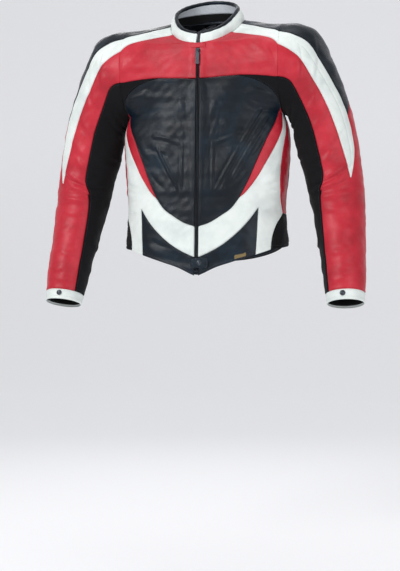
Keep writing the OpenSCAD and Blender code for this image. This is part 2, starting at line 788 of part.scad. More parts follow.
module upper_stretch() {
    color(stretch_black)
        arm_panel(above_elbow(stretch_front), above_elbow(stretch_rear), 10, 7);
}

module upper_lining() {
    color(lining_grey)
        arm_ring(0.1, elbow_w - 0.15, 13, 16, lining_depth, lining_t);
}

module shoulder_armour() {
    color(foam_grey)
        arm_panel([[0.9, -48], [2, -50], [3.2, -36]], [[0.9, 48], [2, 50], [3.2, 36]],
            5, 6, lining_depth + pad_gap + 1.5, pad_t);
}

module forearm() {
    round_back = [for (p = below_elbow(forearm_rear)) p - full_turn];
    color(red) arm_panel(below_elbow(forearm_front), round_back, 7, 11);
}

module forearm_inner() {
    color(stretch_black)
        arm_panel(below_elbow(forearm_front), below_elbow(forearm_rear), 7, 4);
}

module cuff() {
    color(white) arm_ring(cuff_start_w, cuff_end_w, 2, 20);
}

module cuff_stud() {
    p = [cuff_start_w + 0.2, 92];
    way = sleeve_out(p);
    color(metal)
        translate(sleeve(p) + way * 0.05)
            rotate([0, acos(way.z), atan2(way.y, way.x)]) stud();
}

module forearm_lining() {
    color(lining_grey)
        arm_ring(elbow_w + 0.12, cuff_end_w - 0.2, 7, 16, lining_depth, lining_t);
}

module elbow_armour() {
    color(foam_grey)
        arm_panel([[8.35, -92], [9.5, -95], [10.9, -88]], [[8.35, -8], [9.5, -2], [10.9, -10]],
            6, 6, lining_depth + pad_gap, pad_t);
}

yoke_front();  // yoke_front_left
on_right() yoke_front();  // yoke_front_right
chest_panel();  // chest_panel_left
on_right() chest_panel();  // chest_panel_right
chest_accents();
front_bands();
side_panel();  // side_panel_left
on_right() side_panel();  // side_panel_right
lower_fronts();
side_stripes();
side_stretch();
underarm_stretch();
shoulder_stripes();
back_yoke();
back_stretch();
back_panel();
back_side();  // back_side_left
on_right() back_side();  // back_side_right
back_band();
back_waist_stretch();
collar_outer();
collar_lining();
collar_binding();
torso_lining();
back_pad();
hanger_loop();
waist_zip();
zip_tapes();
zip_teeth();
zip_garage();
zip_slider();
zip_pull();
hem_tab();
hem_stud();
waist_label();
shoulder_panel();  // left_shoulder_panel
sleeve_stripe();  // left_sleeve_stripe
upper_sleeve();  // left_upper_sleeve
upper_stretch();  // left_upper_stretch
upper_lining();  // left_upper_lining
shoulder_armour();  // left_shoulder_armour
forearm();  // left_forearm
forearm_inner();  // left_forearm_inner
cuff();  // left_cuff
cuff_stud();  // left_cuff_stud
forearm_lining();  // left_forearm_lining
elbow_armour();  // left_elbow_armour
on_right() shoulder_panel();  // right_shoulder_panel
on_right() sleeve_stripe();  // right_sleeve_stripe
on_right() upper_sleeve();  // right_upper_sleeve
on_right() upper_stretch();  // right_upper_stretch
on_right() upper_lining();  // right_upper_lining
on_right() shoulder_armour();  // right_shoulder_armour
on_right() forearm();  // right_forearm
on_right() forearm_inner();  // right_forearm_inner
on_right() cuff();  // right_cuff
on_right() cuff_stud();  // right_cuff_stud
on_right() forearm_lining();  // right_forearm_lining
on_right() elbow_armour();  // right_elbow_armour
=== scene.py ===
"""Looks of the leather riding jacket: leather panels with sewn edges, folds, stitching, zip and linings."""
import math

import bpy
import numpy as np
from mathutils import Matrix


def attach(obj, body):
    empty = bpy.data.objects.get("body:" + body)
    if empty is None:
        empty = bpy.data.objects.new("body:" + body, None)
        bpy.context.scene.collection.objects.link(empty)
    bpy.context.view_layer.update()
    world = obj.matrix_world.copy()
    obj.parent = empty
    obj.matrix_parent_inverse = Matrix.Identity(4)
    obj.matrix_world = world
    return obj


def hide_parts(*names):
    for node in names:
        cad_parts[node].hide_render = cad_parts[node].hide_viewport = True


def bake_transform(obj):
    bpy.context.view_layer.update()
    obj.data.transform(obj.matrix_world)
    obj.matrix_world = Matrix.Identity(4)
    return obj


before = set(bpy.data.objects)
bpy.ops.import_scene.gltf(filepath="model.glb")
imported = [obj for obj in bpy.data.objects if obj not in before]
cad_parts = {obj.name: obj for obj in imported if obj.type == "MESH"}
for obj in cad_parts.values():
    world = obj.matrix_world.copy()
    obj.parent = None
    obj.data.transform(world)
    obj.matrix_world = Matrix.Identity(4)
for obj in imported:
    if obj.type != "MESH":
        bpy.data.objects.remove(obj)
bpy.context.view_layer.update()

# ---- Driving sizes, in millimetres, as in the CAD model ----

MM = 0.001
CHEST_W, WAIST_W, HEM_W = 208, 199, 206
FRONT_DEPTH, FRONT_LEAN, BACK_DEPTH = 122, 22, 122
FRONT_LENGTH = 636
SQUARENESS = 2.35
ARM_X, ARM_DROP, ARM_R = 195, 128, 110
NECK_W, NECK_DROP, RIM_W = 92, 74, 78
UPPER_DROP, FOREARM_DROP = 290, 285
CUFF_REACH, CUFF_W = 399, 92
LEATHER = 1.3
LINING_DEPTH, LINING, PAD_GAP, PAD = 5.4, 0.8, 2.8, 7
SLOT = 4.5
STUD_R = 6.5

ARM_Z = -ARM_DROP
PIT_Z = ARM_Z - ARM_R
ELBOW_Z = ARM_Z - UPPER_DROP
CUFF_Z = ELBOW_Z - FOREARM_DROP
RING_X = ARM_X + 0.2
TILT = math.atan(FRONT_LEAN / 552)

rng = np.random.default_rng(7)

# ---- Curves and surfaces ----


def hermite(a, b, da, db, u):
    """Cubic curve from a to b with their slopes, at share u."""
    return (a * (2 * u**3 - 3 * u**2 + 1) + da * (u**3 - 2 * u**2 + u)
            + b * (3 * u**2 - 2 * u**3) + db * (u**3 - u**2))


def smooth(x, points):
    """Smooth curve through given (x, y) points, held flat beyond its ends."""
    xs, ys = np.array(points, float).T
    n = len(xs)
    lo, hi = np.maximum(np.arange(n) - 1, 0), np.minimum(np.arange(n) + 1, n - 1)
    slopes = (ys[hi] - ys[lo]) / (xs[hi] - xs[lo])
    x = np.clip(x, xs[0], xs[-1])
    i = np.clip(np.searchsorted(xs, x, side="right") - 1, 0, n - 2)
    w = xs[i + 1] - xs[i]
    return hermite(ys[i], ys[i + 1], slopes[i] * w, slopes[i + 1] * w, (x - xs[i]) / w)


def along(path, k):
    """Points at shares k of a smooth path through given points."""
    path = np.array(path, float)
    n = len(path) - 1
    f = np.minimum(np.asarray(k, float), 0.999999) * n
    i = np.floor(f).astype(int)
    u = (f - i)[..., None]
    a, b = path[i], path[i + 1]
    da = np.where((i > 0)[..., None], (b - path[np.maximum(i - 1, 0)]) / 2, b - a)
    db = np.where((i + 2 <= n)[..., None], (path[np.minimum(i + 2, n)] - a) / 2, b - a)
    return hermite(a, b, da, db, u)


def portion(path, first, last, steps):
    """Stretch of a path between two of its points, counted from 0."""
    return along(path, np.linspace(first, last, steps + 1) / (len(path) - 1))


def unit(v):
    """Directions of length 1."""
    return v / np.maximum(np.linalg.norm(v, axis=-1, keepdims=True), 1e-9)


def xyz(x, y, z):
    """Points from their coordinates."""
    return np.stack(np.broadcast_arrays(x, y, z), axis=-1).astype(float)


def front_y(z):
    """Place of the front's middle line at a height; it leans back towards the neck."""
    return -(FRONT_DEPTH - FRONT_LEAN * (z + 640) / 552)


def power(v):
    """Share that makes an oval section squarer."""
    return np.abs(v) ** (2 / SQUARENESS)


HALF_W = [(-640, HEM_W), (-566, HEM_W - 2), (-470, WAIST_W), (-420, WAIST_W + 3), (-350, CHEST_W),
          (-290, CHEST_W + 1), (-262, CHEST_W - 5), (PIT_Z, ARM_X)]
BACK = [(-640, BACK_DEPTH - 8), (-566, BACK_DEPTH - 14), (-470, BACK_DEPTH - 24), (-350, BACK_DEPTH - 10),
        (PIT_Z, BACK_DEPTH)]
SPINE = [(PIT_Z, BACK_DEPTH), (-150, BACK_DEPTH), (-60, BACK_DEPTH - 10), (22, BACK_DEPTH - 24)]
NECK_FRONT = (0, front_y(-NECK_DROP), -NECK_DROP)
NECK_SIDE = (NECK_W, 14, 2)
NECK_BACK = (0, BACK_DEPTH - 24, 22)
RIM_FRONT = (0, NECK_FRONT[1] + 12, -NECK_DROP + 27)
RIM_SIDE = (RIM_W, 4, 26)
RIM_BACK = (0, NECK_BACK[1] - 10, 68)
FRONT_SHARE = (PIT_Z + NECK_DROP) / PIT_Z
BACK_SHARE = 0.8
COLLAR_SWELL = 2.5


def quarter(mid, side, a, bend):
    """A quarter of an oval, from its middle point to its side point."""
    c = np.maximum(np.cos(a), 0)
    return xyz(side[0] * np.sin(a), side[1] + (mid[1] - side[1]) * c, side[2] + (mid[2] - side[2]) * c**bend)


def oval(front, side, back, degrees):
    """Closed curve through a front, a side and a back point; degrees run from the front, past the left."""
    d = np.asarray(degrees, float)
    left = np.where(d <= 180, d, 360 - d)
    p = np.where((left <= 90)[..., None], quarter(front, side, np.radians(np.minimum(left, 90)), 1.15),
                 quarter(back, side, np.radians(180 - np.maximum(left, 90)), 1.0))
    p[..., 0] *= np.where(d <= 180, 1, -1)
    return p


def neckline(d):
    """Foot of the collar, by the turn from the front."""
    return oval(NECK_FRONT, NECK_SIDE, NECK_BACK, d)


def rim(d):
    """Upper edge of the collar, by the turn from the front."""
    return oval(RIM_FRONT, RIM_SIDE, RIM_BACK, d)


def mid_edge(s):
    """Inner edge of the shoulders: up the front, along the neck, and down the spine."""
    zf = PIT_Z + (NECK_FRONT[2] - PIT_Z) * np.minimum(s / FRONT_SHARE, 1)
    zb = PIT_Z + (NECK_BACK[2] - PIT_Z) * np.clip((2 - s) / BACK_SHARE, 0, 1)
    turn_f = np.clip((s - FRONT_SHARE) / (1 - FRONT_SHARE), 0, 1) * 90
    turn_b = 180 - np.clip((2 - s - BACK_SHARE) / (1 - BACK_SHARE), 0, 1) * 90
    out = np.where((s <= FRONT_SHARE)[..., None], xyz(0 * s, front_y(zf), zf), neckline(turn_f))
    back = np.where((2 - s <= BACK_SHARE)[..., None], xyz(0 * s, smooth(zb, SPINE), zb), neckline(turn_b))
    return np.where((s <= 1)[..., None], out, back)


def armhole(s):
    """The round seam of the left sleeve, from the armpit up over the front."""
    a = np.radians(180 * s - 90)
    return xyz(ARM_X + 0 * s, -ARM_R * np.cos(a), ARM_Z + ARM_R * np.sin(a))


def upper(p):
    """Shoulder and chest above the armpits, by u from the middle to the armhole and s over the shoulder."""
    sign = np.where(p[..., 0] < 0, -1, 1)
    u, s = np.abs(p[..., 0]), p[..., 1]
    h = np.clip(np.where(s <= 1, s, 2 - s), 0, 1)
    w = smooth(h, [(0, 0), (0.35, 0.25), (0.7, 0.7), (1, 1)])
    a = np.radians(90 * np.clip(u, 0, 1))
    across = power(np.sin(a)) * (1 - w) + u * w
    rounded = (1 - power(np.cos(a))) * (1 - w) + u * w
    start = mid_edge(s)
    span = armhole(s) - start
    out = start + span * np.stack([across, rounded, (rounded + u) / 2], axis=-1)
    out[..., 0] *= sign
    return out


def torso(p):
    """Whole torso, by the turn from the front's middle and the height down the front."""
    t, q = p[..., 0], p[..., 1]
    sign = np.where(t > 180, -1, 1)
    t = np.where(t > 180, 360 - t, t)
    r = np.radians(t)
    ql = np.minimum(q, PIT_Z)
    depth = np.where(np.cos(r) >= 0, front_y(ql), smooth(ql, BACK))
    low = xyz(smooth(ql, HALF_W) * power(np.sin(r)), depth * power(np.cos(r)), q)
    h = np.clip(1 - q / PIT_Z, 0, 1)
    front = t <= 90
    high = upper(np.stack([np.where(front, t, 180 - t) / 90, np.where(front, h, 2 - h)], axis=-1))
    out = np.where((q <= PIT_Z)[..., None], low, high)
    out[..., 0] *= sign
    return out


def sleeve_out(w):
    """Outer line of the left sleeve."""
    return xyz(
        smooth(w, [(0, RING_X), (2, 277), (3.5, 317), (5.5, 358), (8, 388), (10.5, 397), (13, CUFF_REACH)]),
        0,
        smooth(w, [(0, ARM_Z + ARM_R), (1, ARM_Z + ARM_R - 3), (2, ARM_Z + ARM_R - 22), (3, ARM_Z + 38),
                   (5.5, ARM_Z - 105), (8, ELBOW_Z + 18), (10.5, ELBOW_Z - 157), (13, CUFF_Z + 2)]))


def sleeve_in(w):
    """Inner line of the left sleeve."""
    return xyz(
        smooth(w, [(0, RING_X), (2, RING_X + 13), (4, RING_X + 22), (6, 230), (8, 256), (10.5, 287),
                   (13, CUFF_REACH - CUFF_W)]),
        0,
        smooth(w, [(0, PIT_Z), (2, PIT_Z - 12), (4, PIT_Z - 39), (6, PIT_Z - 102), (8, ELBOW_Z - 18),
                   (10.5, ELBOW_Z - 170), (13, CUFF_Z - 3)]))


def sleeve_mid(w):
    """Middle line of the left sleeve, which bends forwards below the elbow."""
    y = smooth(w, [(0, 0), (3, 0), (7, 6), (8, 5), (9, -6), (11, -44), (13, -71)])
    return (sleeve_out(w) + sleeve_in(w)) / 2 + xyz(0, y, 0)


def sleeve(p):
    """Left sleeve, by the step from the armhole (0) past the elbow (8) to the cuff (13) and the angle."""
    w, r = p[..., 0], np.radians(p[..., 1])
    half = (sleeve_out(w) - sleeve_in(w)) / 2
    run = sleeve_mid(np.minimum(w + 0.5, 13)) - sleeve_mid(np.maximum(w - 0.5, 0))
    start = np.clip(w / 0.6, 0, 1)[..., None]
    run = unit(run) * start + np.array([1.0, 0, 0]) * (1 - start)
    ahead = unit(np.cross(unit(run), unit(half)))
    depth = smooth(w, [(0, ARM_R), (1, ARM_R - 4), (4, 82), (8, 70), (13, 46)])
    return sleeve_mid(w) + half * np.cos(r)[..., None] + ahead * (depth * np.sin(r))[..., None]


def collar(p):
    """Stand-up collar, by the turn from the front and the share of its height."""
    d, v = p[..., 0], p[..., 1][..., None]
    foot, lip = neckline(d), rim(d)
    r = np.radians(d)
    return foot + (lip - foot) * v + xyz(np.sin(r), -np.cos(r), 0) * COLLAR_SWELL * np.sin(np.pi * v)


def front_flat(p):
    """The flat strip behind and in front of the zip, by place across and height."""
    return xyz(p[..., 0], front_y(p[..., 1]), p[..., 1])


def steps_for(surface, p):
    """Two pairs of nearby parameters that stay on the same side of an edge, for the outward direction."""
    a, b = p[..., 0], p[..., 1]
    if surface is torso:
        lo = np.where(a <= 90, 0.15, np.where(a <= 270, 90, 270))
        hi = np.where(a <= 90, 90, np.where(a <= 270, 270, 360))
        return (np.maximum(a - 0.4, lo), np.minimum(np.maximum(a, lo) + 0.4, hi),
                b - 0.5, np.minimum(b + 0.5, 0))
    if surface is upper:
        return (np.where(a < 0, a - 0.01, np.maximum(a - 0.01, 0)), np.minimum(a + 0.01, 1),
                b - 0.005, b + 0.005)
    if surface is sleeve:
        return np.minimum(a + 0.04, 13), np.maximum(a - 0.04, 0), b - 1, b + 1
    return a - 1, a + 1, b - 0.01, b + 0.01


def outward(surface, p):
    """Outward directions of a surface."""
    if surface is front_flat:
        return p[..., :1] * 0 + np.array([0, -math.cos(TILT), math.sin(TILT)])
    a0, a1, b0, b1 = steps_for(surface, p)
    a, b = p[..., 0], p[..., 1]
    da = surface(np.stack([a1, b], -1)) - surface(np.stack([a0, b], -1))
    db = surface(np.stack([a, b1], -1)) - surface(np.stack([a, b0], -1))
    return unit(np.cross(da, db))


# ---- Folds in the leather ----

# Each fold: points on the surface, half width and height in millimetres, and the side that has it unless
# both do. A negative width puts the crease on its other side.
TORSO_FOLDS = [
    ([(52, -66), (60, -92), (74, -118)], 7, 1.6),
    ([(64, -72), (72, -98), (82, -128)], 6, 1.3),
    ([(30, -112), (48, -122), (70, -124)], 9, 0.8),
    ([(8, -84), (16, -98), (30, -106)], 6, 1.0, -1),
    ([(38, -176), (54, -186), (72, -190)], 8, 2.2),
    ([(34, -190), (52, -204), (70, -208)], -7, 1.8),
    ([(44, -214), (58, -222), (72, -220)], 7, 1.4, 1),
    ([(30, -296), (22, -300), (14, -303)], 6, 2.4, -1),
    ([(31, -320), (23, -330), (14, -340)], 7, 2.8, -1),
    ([(30, -288), (24, -296)], 6, 1.8, 1),
    ([(44, -300), (38, -330), (30, -352)], 9, 1.6),
    ([(30, -376), (24, -400), (16, -424)], 10, 1.4),
    ([(70, -384), (56, -404), (42, -414)], 10, 1.8),
    ([(84, -420), (64, -438), (44, -446)], -9, 2.0),
    ([(80, -462), (60, -470), (48, -474)], 8, 1.6),
    ([(74, -330), (66, -360), (58, -380)], 8, 1.2),
    ([(30, -540), (20, -556), (8, -562)], 9, 1.1),
    ([(36, -560), (26, -578), (12, -590)], 8, 1.0),
    ([(104, -300), (120, -330), (140, -344)], 11, 2.2),
    ([(98, -380), (120, -392), (146, -388)], -10, 2.4),
    ([(100, -430), (124, -430), (150, -420)], 9, 1.8),
    ([(150, -210), (166, -224), (196, -226)], 12, 1.6),
    ([(146, -300), (168, -318), (204, -312)], -12, 1.8, 1),
    ([(150, -400), (176, -410), (206, -402)], 10, 1.8),
]
SLEEVE_FOLDS = [
    ([(1.2, 62), (1.9, 86), (2.3, 104)], 8, 1.8),
    ([(2.0, 30), (2.8, 62), (3.3, 92)], 9, 1.4),
    ([(3.5, 58), (4.1, 84), (4.3, 116)], -8, 1.6),
    ([(4.9, 70), (5.3, 96), (5.2, 128)], 8, 1.8),
    ([(6.0, 52), (6.4, 84), (6.5, 120)], 9, 2.0),
    ([(6.7, 76), (7.05, 104), (7.0, 150)], -8, 2.8),
    ([(7.3, 40), (7.6, 78), (7.7, 118), (7.5, 160)], 8, 3.4),
    ([(7.95, 62), (8.1, 96), (8.1, 142)], 7, 3.6),
    ([(8.5, 36), (8.6, 78), (8.5, 124), (8.3, 160)], -8, 3.2),
    ([(9.1, 60), (9.15, 92), (8.95, 130)], 8, 2.2),
    ([(9.7, 20), (9.9, 56), (9.75, 92)], -9, 1.8),
    ([(10.5, 66), (10.8, 96), (10.7, 124)], 8, 1.6),
    ([(11.3, 30), (11.5, 70), (11.4, 104)], 8, 1.5),
    ([(11.9, 60), (12.0, 110), (11.9, 150)], -6, 1.2),
    ([(1.8, 140), (2.3, 170), (2.5, 200)], 9, 3.0),
    ([(3.1, 128), (3.5, 160), (3.4, 196)], 9, 2.6),
    ([(4.4, 140), (4.8, 170), (4.6, 205)], -9, 2.0),
    ([(5.9, 130), (6.1, 165), (5.9, 205)], 8, 2.0),
    ([(9.9, 150), (10.1, 180), (9.9, 215)], 8, 2.0),
    ([(11.1, 150), (11.2, 185), (11.0, 215)], 8, 1.6),
    ([(2.4, -70), (2.9, -30), (2.9, 10)], 12, 1.6),
    ([(4.5, -100), (4.9, -60), (4.8, -10)], 11, 1.8),
    ([(6.2, -110), (6.5, -70), (6.4, -20)], -10, 1.8),
    ([(9.2, -110), (9.4, -60), (9.2, 0)], 10, 2.0),
    ([(10.8, -100), (11.0, -50), (10.8, 0)], -9, 1.6),
]
FOLD_STEPS = 9
SLEEVE_GAIN = 1.3
CREASE_AT, CREASE_W, CREASE_H = 1.15, 0.38, 0.75


def fold_lines(surface, folds, side, gain=1.0):
    """Each fold of that side as points in space, a half width and a height."""
    return [(surface(along(points, np.linspace(0, 1, FOLD_STEPS))), width, height * gain)
            for points, width, height, *only in folds if not only or only[0] == side]


def fold_height(lines, P, N):
    """Height of all folds at points P with outward directions N."""
    total = np.zeros(P.shape[:-1])
    for path, width, height in lines:
        half = abs(width)
        near = ((P > path.min(0) - 3.2 * half) & (P < path.max(0) + 3.2 * half)).all(-1)
        if not near.any():
            continue
        p, n = P[near], N[near]
        best = np.full(len(p), 1e9)
        side = np.zeros(len(p))
        share = np.zeros(len(p))
        for i in range(FOLD_STEPS - 1):
            a, ab = path[i], path[i + 1] - path[i]
            u = np.clip(((p - a) @ ab) / (ab @ ab), 0, 1)
            off = p - a - u[:, None] * ab
            d = np.linalg.norm(off, axis=-1)
            hit = d < best
            best[hit] = d[hit]
            s = np.einsum("ij,ij->i", off, np.cross(n, ab / np.linalg.norm(ab)))
            side[hit] = s[hit]
            share[hit] = ((i + u) / (FOLD_STEPS - 1))[hit]
        x = side / width
        fade = np.sin(np.pi * np.clip(share, 0.0, 1.0)) ** 0.7
        far = np.exp(-np.maximum(best**2 - side**2, 0) / half**2)
        hump = np.exp(-x**2) - CREASE_H * np.exp(-((x - CREASE_AT) / CREASE_W) ** 2)
        total[near] += height * fade * far * hump
    return total


WAVES = [(rng.normal(size=3) / length * 2 * math.pi, rng.uniform(0, 6.28), size)
         for length, size in ((34, 0.10), (46, 0.16), (58, 0.2), (75, 0.26), (95, 0.34), (130, 0.45))
         for _ in range(3)]


def unevenness(P):
    """Slight waves of the leather everywhere."""
    return sum(size * np.sin(P @ k + phase) for k, phase, size in WAVES)


# ---- Seams on a panel's edges ----

SEAM_STITCH, HEM_STITCH, ZIP_STITCH = 3.4, 7.0, 6.6
STITCH_PITCH = 4.2
RIB_HEIGHT = 1.1
RING_CALM = 14
WELT = 9.5


def bump(e, at, width):
    """A smooth hump of height 1."""
    return np.exp(-((e - at) / width) ** 2)


def edge_profile(kind, e):
    """Height of the leather at distance e from an edge of that kind."""
    if kind == "seam":
        return (-1.9 * bump(e, 0, 1.5) + 0.3 * bump(e, 2.3, 1.1) - 0.3 * bump(e, SEAM_STITCH, 0.6)
                + 0.12 * bump(e, 5, 1.6))
    if kind == "armhole":
        return -0.9 * bump(e, 0, 1.1) + 0.15 * bump(e, 2.1, 1.0)
    if kind == "hem":
        return -1.1 * bump(e, 0, 0.9) + 0.3 * bump(e, 3.5, 3) - 0.35 * bump(e, HEM_STITCH, 0.7)
    if kind == "zip":
        raised = 1.3 / (1 + np.exp((e - WELT) / 0.7))
        return raised - 2.2 * bump(e, 0, 1.1) - 0.35 * bump(e, ZIP_STITCH, 0.7)
    return 0 * e


EDGE_STEPS = np.array([0, 0.5, 1.1, 1.8, 2.6, 3.4, 4.2, 5.4, 7.0, 8.6, 10.4])


def spread(width, count):
    """Shares across a width, close together near both ends: one row for each width given."""
    width = np.maximum(np.atleast_1d(width), 1e-3)[:, None]
    zone = np.minimum(1, width / (2.4 * EDGE_STEPS[-1]))
    near = EDGE_STEPS * zone / width
    last = near[:, -1:]
    middle = last + (1 - 2 * last) * np.linspace(0, 1, count + 2)[1:-1]
    return np.concatenate([near, middle, 1 - near[:, ::-1]], axis=1)


def blended(x, xs, rows):
    """Rows read between their places xs, one for each x."""
    return np.stack([np.interp(x, xs, column) for column in rows.T], -1)


class Panel:
    """Leather between two paths on a surface, in millimetres. edges: kinds of path a, path b, start and end.

    side -1 is its mirror image, lines are folds and rough is the share of them it shows, grid is the spacing
    of its points, in_front keeps it on the front and off the zip, ribs is the pitch of stretch ribs, depth
    sinks it below the surface, extra adds a height, wrap closes it round, face -1 faces it inwards, pad is
    the width of a pad's rounded edge, and rim_drop turns its edges in.
    """

    def __init__(self, surface, a, b, edges, side=1, lines=(), thick=LEATHER, grid=6.0, rough=1.0,
                 in_front=False, ribs=0, depth=0.0, extra=None, wrap=False, face=1, pad=0,
                 rim_drop=1.2):
        self.surface, self.edges = surface, edges.split()
        self.a, self.b = np.array(a, float), np.array(b, float)
        self.side, self.lines, self.thick, self.rough = side, lines, thick, rough
        self.in_front, self.ribs, self.depth, self.extra, self.wrap = in_front, ribs, depth, extra, wrap
        self.face, self.pad, self.rim_drop = face, pad, 0.2 if face < 0 else rim_drop
        k = np.linspace(0, 1, 41)
        pa, pb = surface(along(self.a, k)), surface(along(self.b, k))
        middle = surface((along(self.a, k) + along(self.b, k)) / 2)
        self.length = [np.linalg.norm(np.diff(p, axis=0), axis=1).sum() for p in (pa, pb)]
        self.k_fine = k
        self.width_fine = np.linalg.norm(pa - middle, axis=1) + np.linalg.norm(middle - pb, axis=1)
        self.count_k = max(3, int(max(self.length) / grid))
        self.count_v = max(1, int(self.width_fine.max() / grid))

    def at(self, k, v):
        """Points and outward directions at shares k (rows) and v (rows by columns)."""
        a, b = along(self.a, k)[:, None, :], along(self.b, k)[:, None, :]
        p = a + (b - a) * v[..., None]
        if self.in_front:
            p[..., 0] = np.clip(p[..., 0], 0, 90)
        P, N = self.surface(p), outward(self.surface, p)
        width = np.interp(k, self.k_fine, self.width_fine)[:, None]
        length = self.length[0] * (1 - v) + self.length[1] * v
        near = [v * width, (1 - v) * width, k[:, None] * length, (1 - k[:, None]) * length]
        h = np.zeros(v.shape)
        for kind, e in zip(self.edges, near):
            h += edge_profile(kind, e)
        fold = fold_height(self.lines, P, N) * self.rough + unevenness(P) * self.rough
        if self.surface is not collar:
            ring = np.abs(np.abs(P[..., 0]) - ARM_X)
            off_ring = np.hypot(P[..., 1], P[..., 2] - ARM_Z) - ARM_R
            from_ring = np.hypot(ring, off_ring)
            fold *= 1 - np.exp(-(from_ring / RING_CALM) ** 2)
        sewn = np.ones(v.shape)
        for kind, e in zip(self.edges, near):
            if kind in ("seam", "hem", "zip"):
                sewn = np.minimum(sewn, 0.35 + 0.65 * (1 - np.exp(-(e / 9) ** 2)))
        h += fold * sewn
        if self.ribs:
            across = k[:, None] * length
            calm = (np.clip(np.minimum(near[0], near[1]) / 6, 0, 1)
                    * np.clip(np.minimum(near[2], near[3]) / 5, 0, 1))
            h += RIB_HEIGHT * calm * (np.abs(np.sin(np.pi * across / self.ribs)) - 0.6)
        if self.extra is not None:
            h += self.extra(P, near)
        P = P - N * self.depth
        N = N * self.face
        P = P + N * h[..., None]
        if self.in_front:
            P[..., 0] = np.maximum(P[..., 0], SLOT)
        return P, N

    def shell(self):
        """Vertices and faces of the panel as a closed shell, or a closed tube's wall."""
        average = (self.length[0] + self.length[1]) / 2
        if self.edges[2] == self.edges[3] == "open":
            k = np.linspace(0, 1, self.count_k + 2)
        else:
            k = spread(average, self.count_k)[0]
        width = np.interp(k, self.k_fine, self.width_fine)
        if self.wrap:
            v = np.tile(np.linspace(0, 1, self.count_v + 1)[:-1], (len(k), 1))
        else:
            v = spread(width, self.count_v)
        P, N = self.at(k, v)
        rim_drop = 0 if self.wrap else self.rim_drop
        depth = self.thick + rim_drop * np.exp(-(np.minimum(v, 1 - v) * width[:, None] / 2.5) ** 2)
        if self.pad:
            ends = np.minimum(k, 1 - k)[:, None] * average
            near = np.minimum(np.minimum(v, 1 - v) * width[:, None], ends)
            c = 0.46 * self.thick * (1 - np.sqrt(1 - (1 - np.clip(near / self.pad, 0, 1)) ** 2))
            P, depth = P - N * c[..., None], np.maximum(self.thick - 2 * c, 0.4)
        Q = P - N * depth[..., None]
        if self.side < 0:
            P, Q = P * [-1, 1, 1], Q * [-1, 1, 1]
        n, m = v.shape
        area = n * m
        i, j = np.meshgrid(np.arange(n - 1), np.arange(m if self.wrap else m - 1), indexing="ij")
        i, j = i.ravel(), j.ravel()
        j1 = (j + 1) % m
        quad = np.stack([i * m + j, i * m + j1, (i + 1) * m + j1, (i + 1) * m + j], axis=1)
        faces = [quad, quad[:, ::-1] + area]
        loops = []
        if self.edges[2] != "open":
            loops.append([(0, jj, 0, (jj + 1) % m) for jj in range(m if self.wrap else m - 1)])
        if self.edges[3] != "open":
            loops.append([(n - 1, (jj + 1) % m, n - 1, jj) for jj in range(m if self.wrap else m - 1)])
        if not self.wrap:
            loops.append([(ii + 1, 0, ii, 0) for ii in range(n - 1)])
            loops.append([(ii, m - 1, ii + 1, m - 1) for ii in range(n - 1)])
        for loop in loops:
            faces.append(np.array([[c * m + d, a * m + b, a * m + b + area, c * m + d + area]
                                   for a, b, c, d in loop]))
        faces = np.concatenate(faces)
        # The winding follows the paths' direction, so it is turned where that points inwards
        mi, mj = n // 2, m // 2
        turn = np.cross(P[mi, (mj + 1) % m] - P[mi, mj], P[min(mi + 1, n - 1), mj] - P[max(mi - 1, 0), mj])
        facing = N[mi, mj] * ([-1, 1, 1] if self.side < 0 else [1, 1, 1])
        if turn @ facing < 0:
            faces = faces[:, ::-1]
        return np.concatenate([P.reshape(-1, 3), Q.reshape(-1, 3)]), faces

    def stitch_rows(self):
        """Middles, run directions and outward directions of the stitches along the sewn edges."""
        rows = []
        inset = {"seam": SEAM_STITCH, "hem": HEM_STITCH, "zip": ZIP_STITCH}
        for n, kind in enumerate(self.edges):
            if kind not in inset:
                continue
            d = inset[kind]
            s = np.linspace(0.0, 1.0, 160)
            if n < 2:
                width = np.interp(s, self.k_fine, self.width_fine)
                keep = width > 3 * d
                trim = 2.5 / max(self.length[n], 1)
                keep &= (s > trim) & (s < 1 - trim)
                if keep.sum() < 4:
                    continue
                v = (d / width if n == 0 else 1 - d / width)[:, None]
                P, N = self.at(s, v)
                P, N = P[keep, 0], N[keep, 0]
            else:
                average = (self.length[0] + self.length[1]) / 2
                k = np.array([d / average if n == 2 else 1 - d / average])
                width = np.interp(k, self.k_fine, self.width_fine)[0]
                if width < 12:
                    continue
                trim = 2.5 / width
                P, N = self.at(k, (trim + (1 - 2 * trim) * s)[None, :])
                P, N = P[0], N[0]
            run = np.concatenate([[0], np.cumsum(np.linalg.norm(np.diff(P, axis=0), axis=1))])
            count = int(run[-1] / STITCH_PITCH)
            if count < 2:
                continue
            places = (np.arange(count) + 0.5) * run[-1] / count
            D = blended(places + 0.5, run, P) - blended(places - 0.5, run, P)
            rows.append((blended(places, run, P), unit(D), unit(blended(places, run, N))))
        return rows


STITCH = np.array([(-1.35, -0.12, -0.25), (-0.7, -0.42, 0.12), (0.7, -0.42, 0.12), (1.35, 0.12, -0.25),
                   (-0.7, 0.42, 0.12), (0.7, 0.42, 0.12), (0, 0, 0.42), (0, -0.3, -0.35), (0, 0.3, -0.35)])
STITCH_FACES = np.array([(0, 1, 6), (1, 2, 6), (2, 3, 6), (3, 5, 6), (5, 4, 6), (4, 0, 6), (1, 0, 7),
                         (2, 1, 7), (3, 2, 7), (0, 8, 7), (8, 3, 7), (4, 8, 0), (4, 5, 8), (5, 3, 8)])


def stitch_mesh(C, D, S, M):
    """One stitch at each middle C, along D, with S across it and M outwards."""
    points = (C[:, None] + STITCH[None, :, :1] * D[:, None] + STITCH[None, :, 1:2] * S[:, None]
              + STITCH[None, :, 2:] * M[:, None])
    faces = STITCH_FACES[None] + np.arange(len(C))[:, None, None] * len(STITCH)
    return points, faces.reshape(-1, 3)


